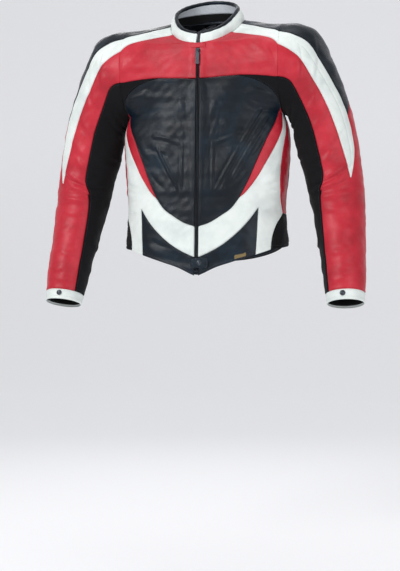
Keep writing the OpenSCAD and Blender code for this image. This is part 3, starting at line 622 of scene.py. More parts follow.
def stitches(panel):
    """Vertices and faces of all stitches of a panel."""
    verts, faces, base = [], [], 0
    for C, D, M in panel.stitch_rows():
        S = unit(np.cross(M, D))
        M = unit(np.cross(D, S))
        pts, f = stitch_mesh(C, D, S, M)
        pts, f = (pts + 0.1 * M[:, None]).reshape(-1, 3), f + base
        if panel.side < 0:
            pts, f = pts * [-1, 1, 1], f[:, ::-1]
        verts.append(pts)
        faces.append(f)
        base += len(pts)
    if not verts:
        return np.zeros((0, 3)), np.zeros((0, 3), int)
    return np.concatenate(verts), np.concatenate(faces)


# ---- Materials ----

def linear(r, g, b):
    """sRGB 0-255 to linear."""
    return tuple(((c / 255 + 0.055) / 1.055) ** 2.4 if c > 10 else c / 255 / 12.92
                 for c in (r, g, b)) + (1.0,)


def grey(v):
    """Linear grey."""
    return (v, v, v, 1)


class Look:
    """Material with one shader, and texture coordinates fixed to the piece."""

    def __init__(self, name, base, roughness):
        self.mat = bpy.data.materials.new(name)
        self.mat.use_nodes = True
        self.nodes, self.links = self.mat.node_tree.nodes, self.mat.node_tree.links
        self.shader = self.nodes["Principled BSDF"]
        self.set(Roughness=roughness, Base_Color=base)
        self.coords = self.nodes.new("ShaderNodeTexCoord")

    def set(self, **values):
        """Inputs of the shader, by their names."""
        for key, value in values.items():
            self.shader.inputs[key.replace("_", " ")].default_value = value

    def texture(self, kind, scale, **settings):
        """Texture node with its inputs and settings."""
        tex = self.nodes.new("ShaderNodeTex" + kind)
        tex.inputs["Scale"].default_value = scale
        for key, value in settings.items():
            if key in tex.inputs:
                tex.inputs[key].default_value = value
            else:
                setattr(tex, key, value)
        self.links.new(self.coords.outputs["Object"], tex.inputs["Vector"])
        return tex

    def ramp(self, source, stops, to):
        """Colour ramp over (place, colour) stops; to is the shader's input it feeds, or None."""
        node = self.nodes.new("ShaderNodeValToRGB")
        while len(node.color_ramp.elements) < len(stops):
            node.color_ramp.elements.new(0.5)
        for element, (place, color) in zip(node.color_ramp.elements, stops):
            element.position = place
            element.color = color
        self.links.new(source, node.inputs["Fac"])
        if to:
            self.links.new(node.outputs["Color"], self.shader.inputs[to])
        return node.outputs["Color"]

    def relief(self, height, strength, distance):
        """Relief of the surface from a texture's value."""
        node = self.nodes.new("ShaderNodeBump")
        node.inputs["Strength"].default_value = strength
        node.inputs["Distance"].default_value = distance
        self.links.new(height, node.inputs["Height"])
        self.links.new(node.outputs["Normal"], self.shader.inputs["Normal"])

    def times_plus(self, value, factor, added):
        """Value times factor, plus another value."""
        node = self.nodes.new("ShaderNodeMath")
        node.operation = "MULTIPLY_ADD"
        self.links.new(value, node.inputs[0])
        node.inputs[1].default_value = factor
        self.links.new(added, node.inputs[2])
        return node.outputs[0]


def leather(name, dark, mid, light, roughness=0.42, coat=0.08, specular=0.32):
    """Full-grain leather: pebbled grain, fine creases, and worn, uneven colour."""
    look = Look(name, mid, roughness)
    cloud = look.texture("Noise", 14, Detail=5, Roughness=0.6)
    pores = look.texture("Voronoi", 780, feature="DISTANCE_TO_EDGE")
    pebble = look.texture("Voronoi", 340)
    crease = look.texture("Noise", 120, Detail=6, Roughness=0.7, Distortion=1.2)
    look.ramp(cloud.outputs["Fac"], [(0.3, dark), (0.52, mid), (0.78, light)], "Base Color")
    look.ramp(crease.outputs["Fac"], [(0.25, grey(roughness - 0.1)), (0.75, grey(roughness + 0.12))],
              "Roughness")
    rough = look.times_plus(pebble.outputs["Distance"], 0.6, crease.outputs["Fac"])
    edge = look.ramp(pores.outputs["Distance"], [(0.0, grey(0)), (0.16, grey(1))], None)
    look.relief(look.times_plus(edge, 0.35, rough), 0.35, 0.0005)
    look.set(Coat_Weight=coat, Coat_Roughness=0.35, Specular_IOR_Level=specular)
    return look.mat


def weave(name, dark, light, scale, roughness=0.85, sheen=0.25):
    """Woven or knitted cloth: two crossed sets of threads."""
    look = Look(name, light, roughness)
    product = look.nodes.new("ShaderNodeMath")
    product.operation = "MULTIPLY"
    for n, axis in enumerate(("X", "Z")):
        threads = look.texture("Wave", scale, bands_direction=axis, Distortion=0.4)
        look.links.new(threads.outputs["Fac"], product.inputs[n])
    cloud = look.texture("Noise", 25, Detail=4)
    uneven = look.times_plus(cloud.outputs["Fac"], 0.5, product.outputs[0])
    look.ramp(uneven, [(0.15, dark), (0.9, light)], "Base Color")
    look.relief(product.outputs[0], 0.6, 0.0004)
    look.set(Specular_IOR_Level=0.25, Sheen_Weight=sheen, Sheen_Roughness=0.4)
    return look.mat


def metal(name, base, roughness):
    """Dark plated metal with fine scratches."""
    look = Look(name, base, roughness)
    look.set(Metallic=1.0)
    scratch = look.texture("Noise", 600, Detail=4, Roughness=0.8).outputs["Fac"]
    look.ramp(scratch, [(0.3, grey(roughness - 0.08)), (0.8, grey(roughness + 0.15))], "Roughness")
    look.ramp(scratch, [(0.4, base), (0.85, tuple(min(c * 1.7, 1) for c in base))], "Base Color")
    return look.mat


def foam(name, base):
    """Foam with open cells, with shade painted into each cell's hollow."""
    look = Look(name, base, 0.8)
    cells = look.texture("Voronoi", 420).outputs["Distance"]
    # Painted shade: each cell is darker towards its middle, where the relief sinks it into a hollow.
    look.ramp(cells, [(0.0, tuple(c * 0.6 for c in base[:3]) + (1,)), (0.6, base)], "Base Color")
    look.relief(cells, 0.5, 0.0006)
    return look.mat


MAT = {name: kind(name, *values) for name, kind, *values in (
    ("red_leather", leather, linear(160, 19, 36), linear(183, 29, 47), linear(201, 48, 64)),
    ("white_leather", leather, linear(204, 212, 210), linear(220, 227, 224), linear(231, 236, 234), 0.38),
    ("black_leather", leather, linear(6, 12, 19), linear(10, 21, 31), linear(21, 39, 53), 0.34, 0.07, 0.22),
    ("black_stretch", weave, linear(3, 3, 5), linear(13, 14, 18), 330, 0.9, 0.04),
    ("grey_mesh", weave, linear(188, 194, 202), linear(232, 236, 242), 260),
    ("black_mesh", weave, linear(3, 3, 4), linear(15, 16, 18), 240, 0.9, 0.05),
    ("black_tape", weave, linear(5, 5, 6), linear(20, 21, 24), 420, 0.85, 0.08),
    ("dark_metal", metal, linear(66, 70, 76), 0.32),
    ("woven_tag", weave, linear(92, 78, 48), linear(168, 146, 98), 700, 0.6),
    ("armour_foam", foam, linear(92, 96, 102)),
    ("red_thread", weave, linear(150, 22, 36), linear(206, 52, 66), 900),
    ("white_thread", weave, linear(196, 202, 200), linear(238, 242, 240), 900),
    ("black_thread", weave, linear(10, 13, 17), linear(52, 60, 70), 900),
)}
THREAD = {"red_leather": "red_thread", "white_leather": "white_thread", "black_leather": "black_thread",
          "woven_tag": "white_thread", "black_stretch": "black_thread", "grey_mesh": "white_thread",
          "black_mesh": "black_thread"}

# ---- Making pieces ----


def ring_faces(n, m):
    """Faces between n rings of m points each."""
    return [[i * m + j, i * m + (j + 1) % m, (i + 1) * m + (j + 1) % m, (i + 1) * m + j]
            for i in range(n - 1) for j in range(m)]


def capped(n, m):
    """Ring faces with a face over each end."""
    return ring_faces(n, m) + [list(range(m))[::-1], [(n - 1) * m + j for j in range(m)]]


def placed(name, data):
    """Object with that data, in the scene."""
    obj = bpy.data.objects.new(name, data)
    bpy.context.scene.collection.objects.link(obj)
    return obj


def make(name, parts):
    """One mesh from (vertices in millimetres, faces, material name) parts."""
    names = list(dict.fromkeys(m for _, _, m in parts))
    verts, faces, mats, base = [], [], [], 0
    for v, f, m in parts:
        if len(f) == 0:
            continue
        verts.append(v)
        if isinstance(f, np.ndarray):
            faces += (f + base).tolist()
        else:
            faces += [[i + base for i in g] for g in f]
        mats += [names.index(m)] * len(f)
        base += len(v)
    mesh = bpy.data.meshes.new(name)
    mesh.from_pydata((np.concatenate(verts) * MM).tolist(), [], faces)
    for m in names:
        mesh.materials.append(MAT[m])
    mesh.polygons.foreach_set("material_index", mats)
    mesh.polygons.foreach_set("use_smooth", [True] * len(faces))
    mesh.update()
    obj = placed(name, mesh)
    return obj


def fixed(name, parts, body="torso"):
    """A piece that rides on one body and stands for the CAD node of its name."""
    obj = make(name, parts)
    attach(obj, body)
    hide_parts(name)
    return obj


def leather_piece(name, panels, slot, nodes=None, body="torso"):
    """Panels with their stitches as one piece, for the CAD node of its name or those given.

    A body of None leaves the piece attached to no body.
    """
    parts = [(*panel.shell(), slot) for panel in panels]
    parts += [(*stitches(panel), THREAD[slot]) for panel in panels]
    obj = make(name, parts)
    if body:
        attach(obj, body)
    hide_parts(*(nodes or [name]))
    return obj


# ---- Seam lines, as turn and height ----

YOKE = [[0, -160], [21, -153], [39, -149], [76, -147], [90, -145]]
STRIPE_FRONT = [[0, -30], [21, -38], [40, -49], [76, -73], [90, -89]]
STRIPE_BACK = [[0, -10], [21, -15], [40, -22], [76, -46], [90, -60]]
CHEST = [[31, -151], [47, -157], [66, -170], [79, -185], [84, -205], [78, -226], [69, -246], [60, -268],
         [52, -292], [46, -322], [40, -360], [34, -405], [27, -450], [21, -475], [14, -492], [7, -508],
         [0.7, -518]]
CHEST_CENTRE = [[0, -161], [0, -196], [0, -247], [0, -326], [0, -446], [0, -486], [0, -519]]
ACCENT = [[84, -205], [82, -232], [75, -262], [67, -292], [58, -326], [49, -364], [41, -402], [33, -433],
          [27, -450]]
BAND = [[44, -473], [34, -507], [24, -537], [13, -566], [0.7, -592]]
HEM = [[40, -586], [31, -594], [21, -604], [10, -617], [0.7, -FRONT_LENGTH]]
LOWER_FRONT = [[44, -473], [40, -586]]
SIDE = [[86, -247], [77, -285], [71, -326], [69, -360], [69, -392], [71, -425], [74, -455], [79, -484]]
SIDE_BACK = [[94, -248], [92, -326], [91, -392], [92, -484]]
WAIST_FRONT = [[79, -484], [66, -511], [59, -540], [56, -573]]
WAIST_BACK = [[92, -484], [96, -500], [101.5, -520], [107, -540], [112, -558]]
PIT_LOW = np.concatenate([portion(CHEST, 0.1, 4, 4), [[83.5, -219], [82.5, -232], [86, -246]]])
PIT_HIGH = np.concatenate([portion(YOKE, 1.6, 4, 4), [[90, -175], [90, -210], [90, -246]]])
STRETCH_TOP = [[90, -100], [120, -102], [150, -105], [180, -107]]
STRETCH_LOW = [[90, -139], [119, -142], [150, -144], [180, -145]]
BACK_PIT = [[90, -139], [90, -190], [90, -247]]
BACK_EDGE = [[119, -142], [122.3, -190], [126.6, -248], [141, -442]]
BACK_BAND = [[92, -484], [116, -463], [141, -442], [160, -448], [180, -452]]
BACK_WAIST = [[96, -500], [118, -492], [145, -482], [162, -484], [180, -487]]
BACK_HEM = [[112, -558], [130, -574], [150, -588], [165, -595], [180, -598]]


def across(path):
    """Path on the left half of the back, carried on across the middle."""
    path = np.array(path, float)
    return np.concatenate([path, (path[:-1] * [-1, 1] + [360, 0])[::-1]])


def ridge(P, x0, z0, x1, z1, half, height):
    """Raised or sunk line on the front, between two places seen from the front."""
    a, d = np.array([x0, z0]), np.array([x1 - x0, z1 - z0])
    q = np.stack([np.abs(P[..., 0]), P[..., 2]], -1) - a
    u = (q @ d) / (d @ d)
    off = np.abs(q[..., 0] * d[1] - q[..., 1] * d[0]) / np.linalg.norm(d)
    fade = np.clip(u * 12, 0, 1) * np.clip((1 - u) * 12, 0, 1)
    return height * fade * (np.exp(-(off / half) ** 2) - 0.45 * np.exp(-((off - 2.2 * half) / half) ** 2))


def chest_relief(P, near):
    """Piped seams of the padded chest: one each side of the zip, and a slanting one that meets it."""
    return (ridge(P, 38, -200, 38, -432, 2.0, 2.4) + ridge(P, 47, -205, 45, -330, 2.4, 1.1)
            + ridge(P, 104, -322, 46, -430, 2.4, 3.0) + ridge(P, 98, -328, 52, -414, 14, 1.8)
            + ridge(P, 92, -300, 44, -316, 3.0, 1.6))


def chest_relief_left(P, near):
    """The left chest's slanting seams run on up towards the arm."""
    return (chest_relief(P, near) + ridge(P, 152, -232, 104, -322, 2.6, 2.8)
            + ridge(P, 170, -246, 84, -404, 3.0, 1.9))


def stripe_groove(P, near):
    """Seam sunk along the middle of the white stripe, fading out at its tip."""
    width = near[0] + near[1]
    return -1.1 * np.clip((width - 14) / 10, 0, 1) * bump(near[1], 0.42 * width, 2.2)


torso_lines = {side: fold_lines(torso, TORSO_FOLDS, side) for side in (1, -1)}
sleeve_lines = {side: fold_lines(sleeve, SLEEVE_FOLDS, side, SLEEVE_GAIN) for side in (1, -1)}
SIDES = (("left", 1), ("right", -1))
SEWN = "seam seam seam seam"


def front(a, b, edges, side, **options):
    """Panel of the front, up to the side line."""
    return back(a, b, edges, side, in_front=True, **options)


def back(a, b, edges, side=1, **options):
    """Panel of the side, or across the whole back."""
    return Panel(torso, a, b, edges, side, torso_lines[side], **options)


# Torso, front
chest_centre = along(CHEST_CENTRE, np.linspace(0, 1, len(CHEST)))
for word, side in SIDES:
    leather_piece(f"yoke_front_{word}", [front(STRIPE_FRONT, YOKE, "seam seam zip armhole", side)],
                  "red_leather")
    leather_piece(f"chest_panel_{word}", [
        front(chest_centre, CHEST, "zip seam seam none", side, grid=4.5,
              extra=chest_relief_left if side > 0 else chest_relief)], "black_leather")
    leather_piece(f"side_panel_{word}", [
        front(portion(ACCENT, 1, 8, 7), portion(SIDE, 0, 6, 7), "seam seam seam open", side),
        front([ACCENT[8], BAND[0]], portion(SIDE, 6, 7, 1), "none seam open open", side),
        front(LOWER_FRONT, WAIST_FRONT, "seam seam open hem", side)], "white_leather")


def pair(name, slot, make_panels):
    """One piece of the same panels on both sides."""
    leather_piece(name, [panel for _, side in SIDES for panel in make_panels(side)], slot)


pair("chest_accents", "red_leather",
     lambda s: [front(portion(CHEST, 4, 12, 8), ACCENT, "seam seam none none", s)])
pair("front_bands", "white_leather",
     lambda s: [front(portion(CHEST, 12, 16, 4), BAND, "seam seam none zip", s)])
pair("lower_fronts", "black_leather", lambda s: [front(BAND, HEM, "seam hem seam zip", s)])
pair("side_stripes", "red_leather", lambda s: [back(SIDE, SIDE_BACK, SEWN, s)])
pair("side_stretch", "black_stretch",
     lambda s: [back(WAIST_FRONT, WAIST_BACK, "seam seam seam hem", s, ribs=9)])
pair("underarm_stretch", "black_stretch", lambda s: [
    front(PIT_LOW, PIT_HIGH, "seam armhole none none", s),
    back(BACK_PIT, portion(BACK_EDGE, 0, 2, 2), SEWN, s)])
pair("shoulder_stripes", "white_leather", lambda s: [
    front(STRIPE_FRONT, STRIPE_BACK, "seam seam seam armhole", s, extra=stripe_groove, grid=2.4)])

# Torso, back
shoulder_front = [[t / 90, 1 - q / PIT_Z] for t, q in STRIPE_BACK]
shoulder_back = [[t / 90, 1.2] for t, q in STRIPE_BACK]
blade_top = [[-1, 1.2], [-0.5, 1.2], [0, 1.2], [0.5, 1.2], [1, 1.2]]
blade_low = [[-1, 1.42], [-0.5, 1.435], [0, 1.45], [0.5, 1.435], [1, 1.42]]
yoke_panels = [Panel(upper, shoulder_front, shoulder_back, "seam seam seam armhole", side, torso_lines[side])
               for _, side in SIDES]
yoke_panels.append(Panel(upper, blade_top, blade_low, SEWN, 1, torso_lines[1]))
leather_piece("back_yoke", yoke_panels, "black_leather")
leather_piece("back_stretch", [back(across(STRETCH_TOP), across(STRETCH_LOW), SEWN)], "black_stretch")
leather_piece("back_panel", [
    back(across(portion(STRETCH_LOW, 1, 3, 2)), across(portion(BACK_BAND, 2, 4, 2)), SEWN)], "red_leather")
for word, side in SIDES:
    leather_piece(f"back_side_{word}", [back(SIDE_BACK, portion(BACK_EDGE, 2, 3, 1), SEWN, side)],
                  "black_leather")
leather_piece("back_band", [back(across(BACK_BAND), across(BACK_WAIST), SEWN)], "white_leather")
leather_piece("back_waist_stretch",
              [back(across(BACK_WAIST), across(BACK_HEM), "seam hem seam seam", ribs=9)], "black_stretch")

# Sleeves
STRIPE_F = [[0, 67], [1.3, 76], [2.6, 80], [4, 74], [5.4, 66], [6.8, 58], [8, 51]]
STRIPE_R = [[0, 45], [1.3, 51], [2.6, 51], [4, 42], [5.4, 30], [6.8, 27], [8, 48]]
STRETCH_F = [[0, 109], [1.3, 109], [2.6, 113], [4, 111], [5.4, 106], [6.8, 105], [7.7, 107], [8.2, 120],
             [9.4, 128], [10.7, 135], [12.5, 140]]
TIP = portion(STRIPE_R, 0, 4.2, 5)
SHOULDER_R = [[0, -100], [1.3, -88], [2.6, -68], [4, -38], [5, -6], TIP[5] - [0, 0.6]]
TURN = np.array([0, 360.0])
CUFF_START = 12.5


def rear(w):
    """Angle of the seam between the red leather and the stretch, behind the sleeve."""
    return smooth(w, [(0, 257), (1.3, 257), (4, 245), (8, 245), (9.4, 236), (10.7, 228), (CUFF_START, 220)])


def bend_at_elbow(piece):
    """Bakes the piece's placement into its mesh; it sets up no bend at the elbow."""
    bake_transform(piece)


def sewn_sleeve(word, side):
    """All leather of one sleeve."""
    lines = sleeve_lines[side]

    def arm(a, b, edges, **options):
        """Panel on this sleeve."""
        return Panel(sleeve, a, b, edges, side, lines, **options)

    leather_piece(f"{word}_shoulder_panel", [arm(TIP, SHOULDER_R, "seam seam armhole none")], "black_leather",
                  body=f"{word}_upper_arm")
    stripe = leather_piece(f"{word}_sleeve_stripe",
                           [arm(STRIPE_F, STRIPE_R, "seam seam armhole none", extra=stripe_groove, grid=2.4)],
                           "white_leather", body=None)
    bend_at_elbow(stripe)
    # The red leather runs down the front, round the stripe's tip and back up the outside
    front_path = portion(STRETCH_F, 0, 7, 12)
    stripe_w = np.interp(front_path[:, 0], [0, 8.2], [0, 8])
    front_high = [[w, np.interp(w, *np.array(STRIPE_F).T)] for w in stripe_w]
    tip_w = TIP[5][0]
    rear_low = [[w, rear(w)] for w in np.linspace(0, tip_w, 7)]
    mid_w = np.linspace(tip_w, 8, 5)
    mid_high = [[w, np.interp(w, *np.array(STRIPE_R).T) + 360] for w in mid_w]
    mid_high[-1][1] = 409.5
    fore_w = np.linspace(8, CUFF_START, 8)
    red = leather_piece(f"{word}_red_sleeve", [
        arm(front_high, front_path, "seam seam armhole none"),
        arm(rear_low, [p + TURN for p in np.array(SHOULDER_R)], "seam seam armhole open"),
        arm([[w, rear(w)] for w in mid_w], mid_high, "seam seam open none"),
        arm([[w, rear(w)] for w in fore_w], [[w, np.interp(w, *np.array(STRETCH_F).T) + 360] for w in fore_w],
            "seam seam none seam")],
        "red_leather", [f"{word}_upper_sleeve", f"{word}_forearm"], body=None)
    bend_at_elbow(red)
    inner = leather_piece(f"{word}_inner_sleeve", [
        arm(STRETCH_F, [[p[0], rear(p[0])] for p in STRETCH_F], "seam seam armhole seam")],
        "black_stretch", [f"{word}_upper_stretch", f"{word}_forearm_inner"], body=None)
    bend_at_elbow(inner)
    leather_piece(f"{word}_cuff", [arm([[CUFF_START, 181], [13, 181]], [[CUFF_START, 541], [13, 541]],
                  "none none seam hem", wrap=True)], "white_leather", body=f"{word}_lower_arm")


for word, side in SIDES:
    sewn_sleeve(word, side)

# ---- Collar ----

BEAD_R, BEAD_GAP = 4.2, 0.5
COLLAR_START = 3.0
COLLAR_T = np.linspace(COLLAR_START, 360 - COLLAR_START, 31)


def collar_path(share, below_bead=False):
    """Line round the collar at a share of its height, or just below its rolled edge."""
    if not below_bead:
        return [[d, share] for d in COLLAR_T]
    height = np.linalg.norm(rim(COLLAR_T) - neckline(COLLAR_T), axis=-1)
    return [[d, 1 - (BEAD_R + BEAD_GAP - 1.2) / h] for d, h in zip(COLLAR_T, height)]


def collar_swell(P, near):
    """Padding of the collar, with soft puckers across it."""
    turn = np.arctan2(P[..., 0], -P[..., 1])
    full = np.sin(np.pi * np.clip(near[0] / (near[0] + near[1] + 1e-6), 0, 1))
    return full * (1.0 + 0.35 * np.sin(turn * 17 + 1.3) + 0.25 * np.sin(turn * 41))


def quilt(P, near):
    """Stitched diamonds of a quilted lining."""
    a, b = near[0] + near[2], near[0] - near[2]
    full = np.clip(np.minimum(near[0], near[1]) / 4, 0, 1)
    return full * 0.9 * (np.sqrt(np.abs(np.sin(np.pi * a / 17) * np.sin(np.pi * b / 17))) - 0.4)


leather_piece("collar_outer", [
    Panel(collar, collar_path(-0.09), collar_path(0, True), "armhole none hem hem", grid=4,
          extra=collar_swell, rim_drop=0.3)], "white_leather")
collar_inside = fixed("collar_lining", [
    (*Panel(collar, collar_path(0.42), collar_path(0, True), "seam none none none", grid=2.6, depth=5.4,
            face=-1, thick=1.6, rough=0, extra=quilt).shell(), "grey_mesh"),
    (*Panel(collar, collar_path(-0.16), collar_path(0.42), "none seam none none", grid=4, depth=5.2,
            face=-1, thick=1.6, rough=0.5).shell(), "black_mesh")])


def tube(middles, across_way, up_way, wide, high, sides=14, power_of=2.3):
    """Closed tube with rounded ends through given middles; wide and high are its half sizes along the way."""
    n = len(middles)
    run = np.concatenate([[0], np.cumsum(np.linalg.norm(np.diff(middles, axis=0), axis=1))])
    end = np.minimum(run, run[-1] - run)
    taper = np.sqrt(np.clip(1 - (1 - np.clip(end / np.max(high), 0, 1)) ** 2, 0.02, 1))
    angle = np.linspace(0, 2 * np.pi, sides, endpoint=False)
    c, q = np.cos(angle), np.sin(angle)
    shape_c, shape_q = np.sign(c) * np.abs(c) ** (2 / power_of), np.sign(q) * np.abs(q) ** (2 / power_of)
    ring = (across_way[:, None] * (shape_c[None, :, None] * (wide * taper)[:, None, None])
            + up_way[:, None] * (shape_q[None, :, None] * (high * taper)[:, None, None]))
    points = (middles[:, None] + ring).reshape(-1, 3)
    faces = capped(n, sides)
    side = np.cross(across_way[n // 2], up_way[n // 2]) @ (middles[n // 2 + 1] - middles[n // 2])
    return points, faces if side > 0 else [f[::-1] for f in faces]


bead_t = np.linspace(COLLAR_START, 360 - COLLAR_START, 260)
bead_at = np.stack([bead_t, np.ones_like(bead_t)], -1)
bead_out = outward(collar, np.stack([bead_t, 0.97 * np.ones_like(bead_t)], -1))
bead_up = unit(collar(bead_at) - collar(bead_at - [0, 0.1]))
bead_run = np.cumsum(np.linalg.norm(np.diff(collar(bead_at), axis=0, prepend=collar(bead_at)[:1]), axis=1))
pucker = 0.18 * np.sin(bead_run / 3.4) + 0.2 * np.sin(bead_run / 11)
bead_mid = collar(bead_at) - bead_out * (LEATHER / 2 + 1.4)
fixed("collar_binding", [(*tube(bead_mid, bead_out, bead_up, 4.4 + pucker, 5.0 + pucker), "black_leather")])

# ---- Linings and padding ----


def lining(path_a, path_b, side=1, surface=torso, material="grey_mesh", depth=LINING_DEPTH + LINING,
           **options):
    """Panel of the lining, facing inwards."""
    panel = Panel(surface, path_a, path_b, "hem hem hem hem", side, face=-1, depth=depth, thick=LINING,
                  rough=0.4, grid=9, **options)
    return (*panel.shell(), material)


def box_quilt(P, near):
    """Soft squares of the sewn lining."""
    a, b = P[..., 2], np.arctan2(P[..., 0], P[..., 1]) * 120
    return 0.7 * (np.abs(np.sin(np.pi * a / 44) * np.sin(np.pi * b / 44)) ** 0.4 - 0.5)


lower_hem = [[6, -590], [40, -570], [90, -546], [130, -558], [180, -582]]
lower_top = [[6, -249], [40, -249], [90, -249], [130, -249], [180, -249]]
lining_parts = [lining(across(lower_hem), across(lower_top), extra=box_quilt)]
for _, s in SIDES:
    lining_parts.append(lining([[8, -247], [45, -247], [88, -247]], [[4, -36], [45, -52], [88, -86]], s,
                               extra=box_quilt))
lining_parts.append(lining(across([[92, -247], [135, -247], [180, -247]]),
                           across([[92, -92], [135, -70], [180, -52]]), extra=box_quilt))
fixed("torso_lining", lining_parts)

# Leather facing inside the hem, the neck and behind the zip
FACING_DEPTH = 5.9
hem_line = np.concatenate([along(HEM[::-1], np.linspace(0.02, 1, 14)),
                           np.linspace([44, -582.7], [56, -573], 4),
                           np.linspace([60, -572], [108, -559], 8), along(BACK_HEM, np.linspace(0, 1, 12))])
facing_parts = [
    (*Panel(torso, across(hem_line + [0, 2.5]), across(hem_line + [0, 27]), "hem none hem hem", face=-1,
            depth=FACING_DEPTH, thick=0.8, rough=0.3, grid=8).shell(), "black_leather"),
    (*Panel(torso, across([[96, -10], [104, -7], [130, -5], [156, -3], [180, -2]]),
            across([[96, -58], [104, -60], [130, -62], [156, -60], [180, -56]]),
            "none hem hem hem", face=-1, depth=FACING_DEPTH, thick=0.8, rough=0.3, grid=8).shell(),
            "black_leather")]

wind_flap = Panel(front_flat, [[-22, -626], [0, -634], [22, -626]], [[-22, -84], [0, -80], [22, -84]],
                  "hem hem hem hem", depth=5.4, thick=0.9, rough=0.5, grid=8, rim_drop=0)
facing_parts.append((*wind_flap.shell(), "black_leather"))
facing = make("facings", facing_parts)
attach(facing, "torso")


def foam_ribs(P, near):
    """Rounded ribs of the foam, both ways."""
    return 0.9 * (np.abs(np.sin(near[0] / 6.2) * np.sin(near[2] / 6.2)) ** 0.5 - 1)


def foam_pad(name, surface, path_a, path_b, side, depth, thick, body):
    """Ribbed foam with rounded edges."""
    panel = Panel(surface, path_a, path_b, "none none none none", side, depth=depth, thick=thick, rough=0,
                  grid=7, pad=6, extra=foam_ribs)
    fixed(name, [(*panel.shell(), "armour_foam")], body)


foam_pad("back_pad", torso, across([[152, -112], [166, -110], [180, -108]]),
         across([[160, -403], [170, -413], [180, -416]]), 1,
         LINING_DEPTH + PAD_GAP + 1.8, PAD + 1.6, "torso")
for word, side in SIDES:
    sleeve_lining = make(f"{word}_sleeve_lining", [
        lining([[0.1, 181], [6, 181], [12.9, 181]], [[0.1, 541], [6, 541], [12.9, 541]], side, sleeve,
               "black_mesh", wrap=True)])
    bend_at_elbow(sleeve_lining)
    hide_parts(f"{word}_upper_lining", f"{word}_forearm_lining")
    foam_pad(f"{word}_shoulder_armour", sleeve, [[0.9, -46], [2, -48], [3.15, -34]],
             [[0.9, 46], [2, 48], [3.15, 34]], side, LINING_DEPTH + PAD_GAP + 1.7, PAD - 0.4,
             f"{word}_upper_arm")
    foam_pad(f"{word}_elbow_armour", sleeve, [[8.4, -90], [9.5, -93], [10.85, -86]],
             [[8.4, -10], [9.5, -4], [10.85, -12]], side, LINING_DEPTH + PAD_GAP + 0.2, PAD - 0.4,
             f"{word}_lower_arm")

# ---- Zip, tab, studs and loop ----

ZIP_LOW, ZIP_HIGH = -FRONT_LENGTH + 8, -NECK_DROP - 4
ZIP_LEN = (ZIP_HIGH - ZIP_LOW) / math.cos(TILT)
TAPE_Y = LEATHER + 0.5
TOOTH, TOOTH_X, PITCH = (2.2, 2.6, 2.6), 0.7, 5
TOOTH_Y = TAPE_Y - 0.1 - TOOTH[1]
NUB = 0.15


def on_zip(points):
    """From the zip's own measure (across, inwards, upwards) to the jacket's."""
    x, y, h = np.moveaxis(np.asarray(points, float), -1, 0)
    c, q = math.cos(TILT), math.sin(TILT)
    return xyz(x, front_y(ZIP_LOW) + y * c + h * q, ZIP_LOW - y * q + h * c)


def flipped(points, faces, side):
    """The same mesh for side 1, and its mirror image for side -1."""
    return (points, faces) if side > 0 else (points * [-1, 1, 1], [f[::-1] for f in faces])


def swept(profile, heights, wobble):
    """A closed outline (across, inwards) carried up the zip."""
    points = np.array([[(x, y + wobble * math.sin(h / 2.1), h) for x, y in profile]
                       for h in heights]).reshape(-1, 3)
    return on_zip(points), capped(len(heights), len(profile))


bead = [(TOOTH_X + 0.9 - 0.9 * math.cos(a), TAPE_Y + 0.4 - 0.75 * math.sin(a))
        for a in np.linspace(-0.9, 3.6, 9)]
outline = bead[::-1] + [(TOOTH_X + 2.4, TAPE_Y + 0.8), (7, TAPE_Y + 0.8), (11.2, TAPE_Y + 0.7),
                        (11.7, TAPE_Y + 0.4), (11.2, TAPE_Y + 0.1), (7, TAPE_Y), (TOOTH_X + 2.4, TAPE_Y)]
area = sum(a[0] * b[1] - b[0] * a[1] for a, b in zip(outline, outline[1:] + outline[:1]))
outline = outline if area > 0 else outline[::-1]
tape_v, tape_f = swept(outline, np.linspace(0, ZIP_LEN, 260), 0.05)
fixed("zip_tapes", [(*flipped(tape_v, tape_f, side), "black_tape") for _, side in SIDES])


def soft_box(x0, x1, y0, y1, h0, h1, nub, r=0.45):
    """Box with its edges cut back, and a raised nub on its front."""
    points = []
    levels = [(h0, r), (h0 + r, 0), ((h0 + h1) / 2, -nub), (h1 - r, 0), (h1, r)]
    for h, cut in levels:
        inset = max(cut, 0)
        points += [(x, y, h) for x, y in (
            (x0 + r, y0 + cut), (x1 - r, y0 + cut), (x1 - inset, y0 + r), (x1 - inset, y1 - r),
            (x1 - r, y1 - inset), (x0 + r, y1 - inset), (x0 + inset, y1 - r), (x0 + inset, y0 + r))]
    return np.array(points), capped(len(levels), 8)


tooth_count = int((ZIP_LEN - 10) / PITCH)
STOP_W, STOP_LOW, STOP_HIGH = 3.4, 4, 3
tooth_parts = []
for _, side in SIDES:
    boxes = []
    for i in range(tooth_count):
        h = 5 + (i + (side < 0) / 2) * PITCH
        boxes.append(soft_box(TOOTH_X, TOOTH_X + TOOTH[0], TOOTH_Y, TOOTH_Y + TOOTH[1], h, h + TOOTH[2], NUB))
    for h0, h1 in ((0, STOP_LOW), (ZIP_LEN - STOP_HIGH, ZIP_LEN)):
        boxes.append(soft_box(TOOTH_X, TOOTH_X + STOP_W, TOOTH_Y, TOOTH_Y + TOOTH[1], h0, h1, 0.0))
    tooth_parts += [(*flipped(on_zip(v), f, side), "dark_metal") for v, f in boxes]
teeth = fixed("zip_teeth", tooth_parts)
teeth.data.polygons.foreach_set("use_smooth", [False] * len(teeth.data.polygons))

TAB_H, TAB_PITCH = 10, 3.6


def rounded_rect(cx, cz, w, h, r, count=96):
    """Outline points of a rectangle with rounded corners, in the zip's own measure."""
    a = np.linspace(0, 2 * np.pi, count, endpoint=False)
    c, q = np.cos(a), np.sin(a)
    x = np.clip(c * 4, -1, 1) * (w / 2 - r) + c * r
    z = np.clip(q * 4, -1, 1) * (h / 2 - r) + q * r
    return np.stack([cx + x, cz + z], -1)


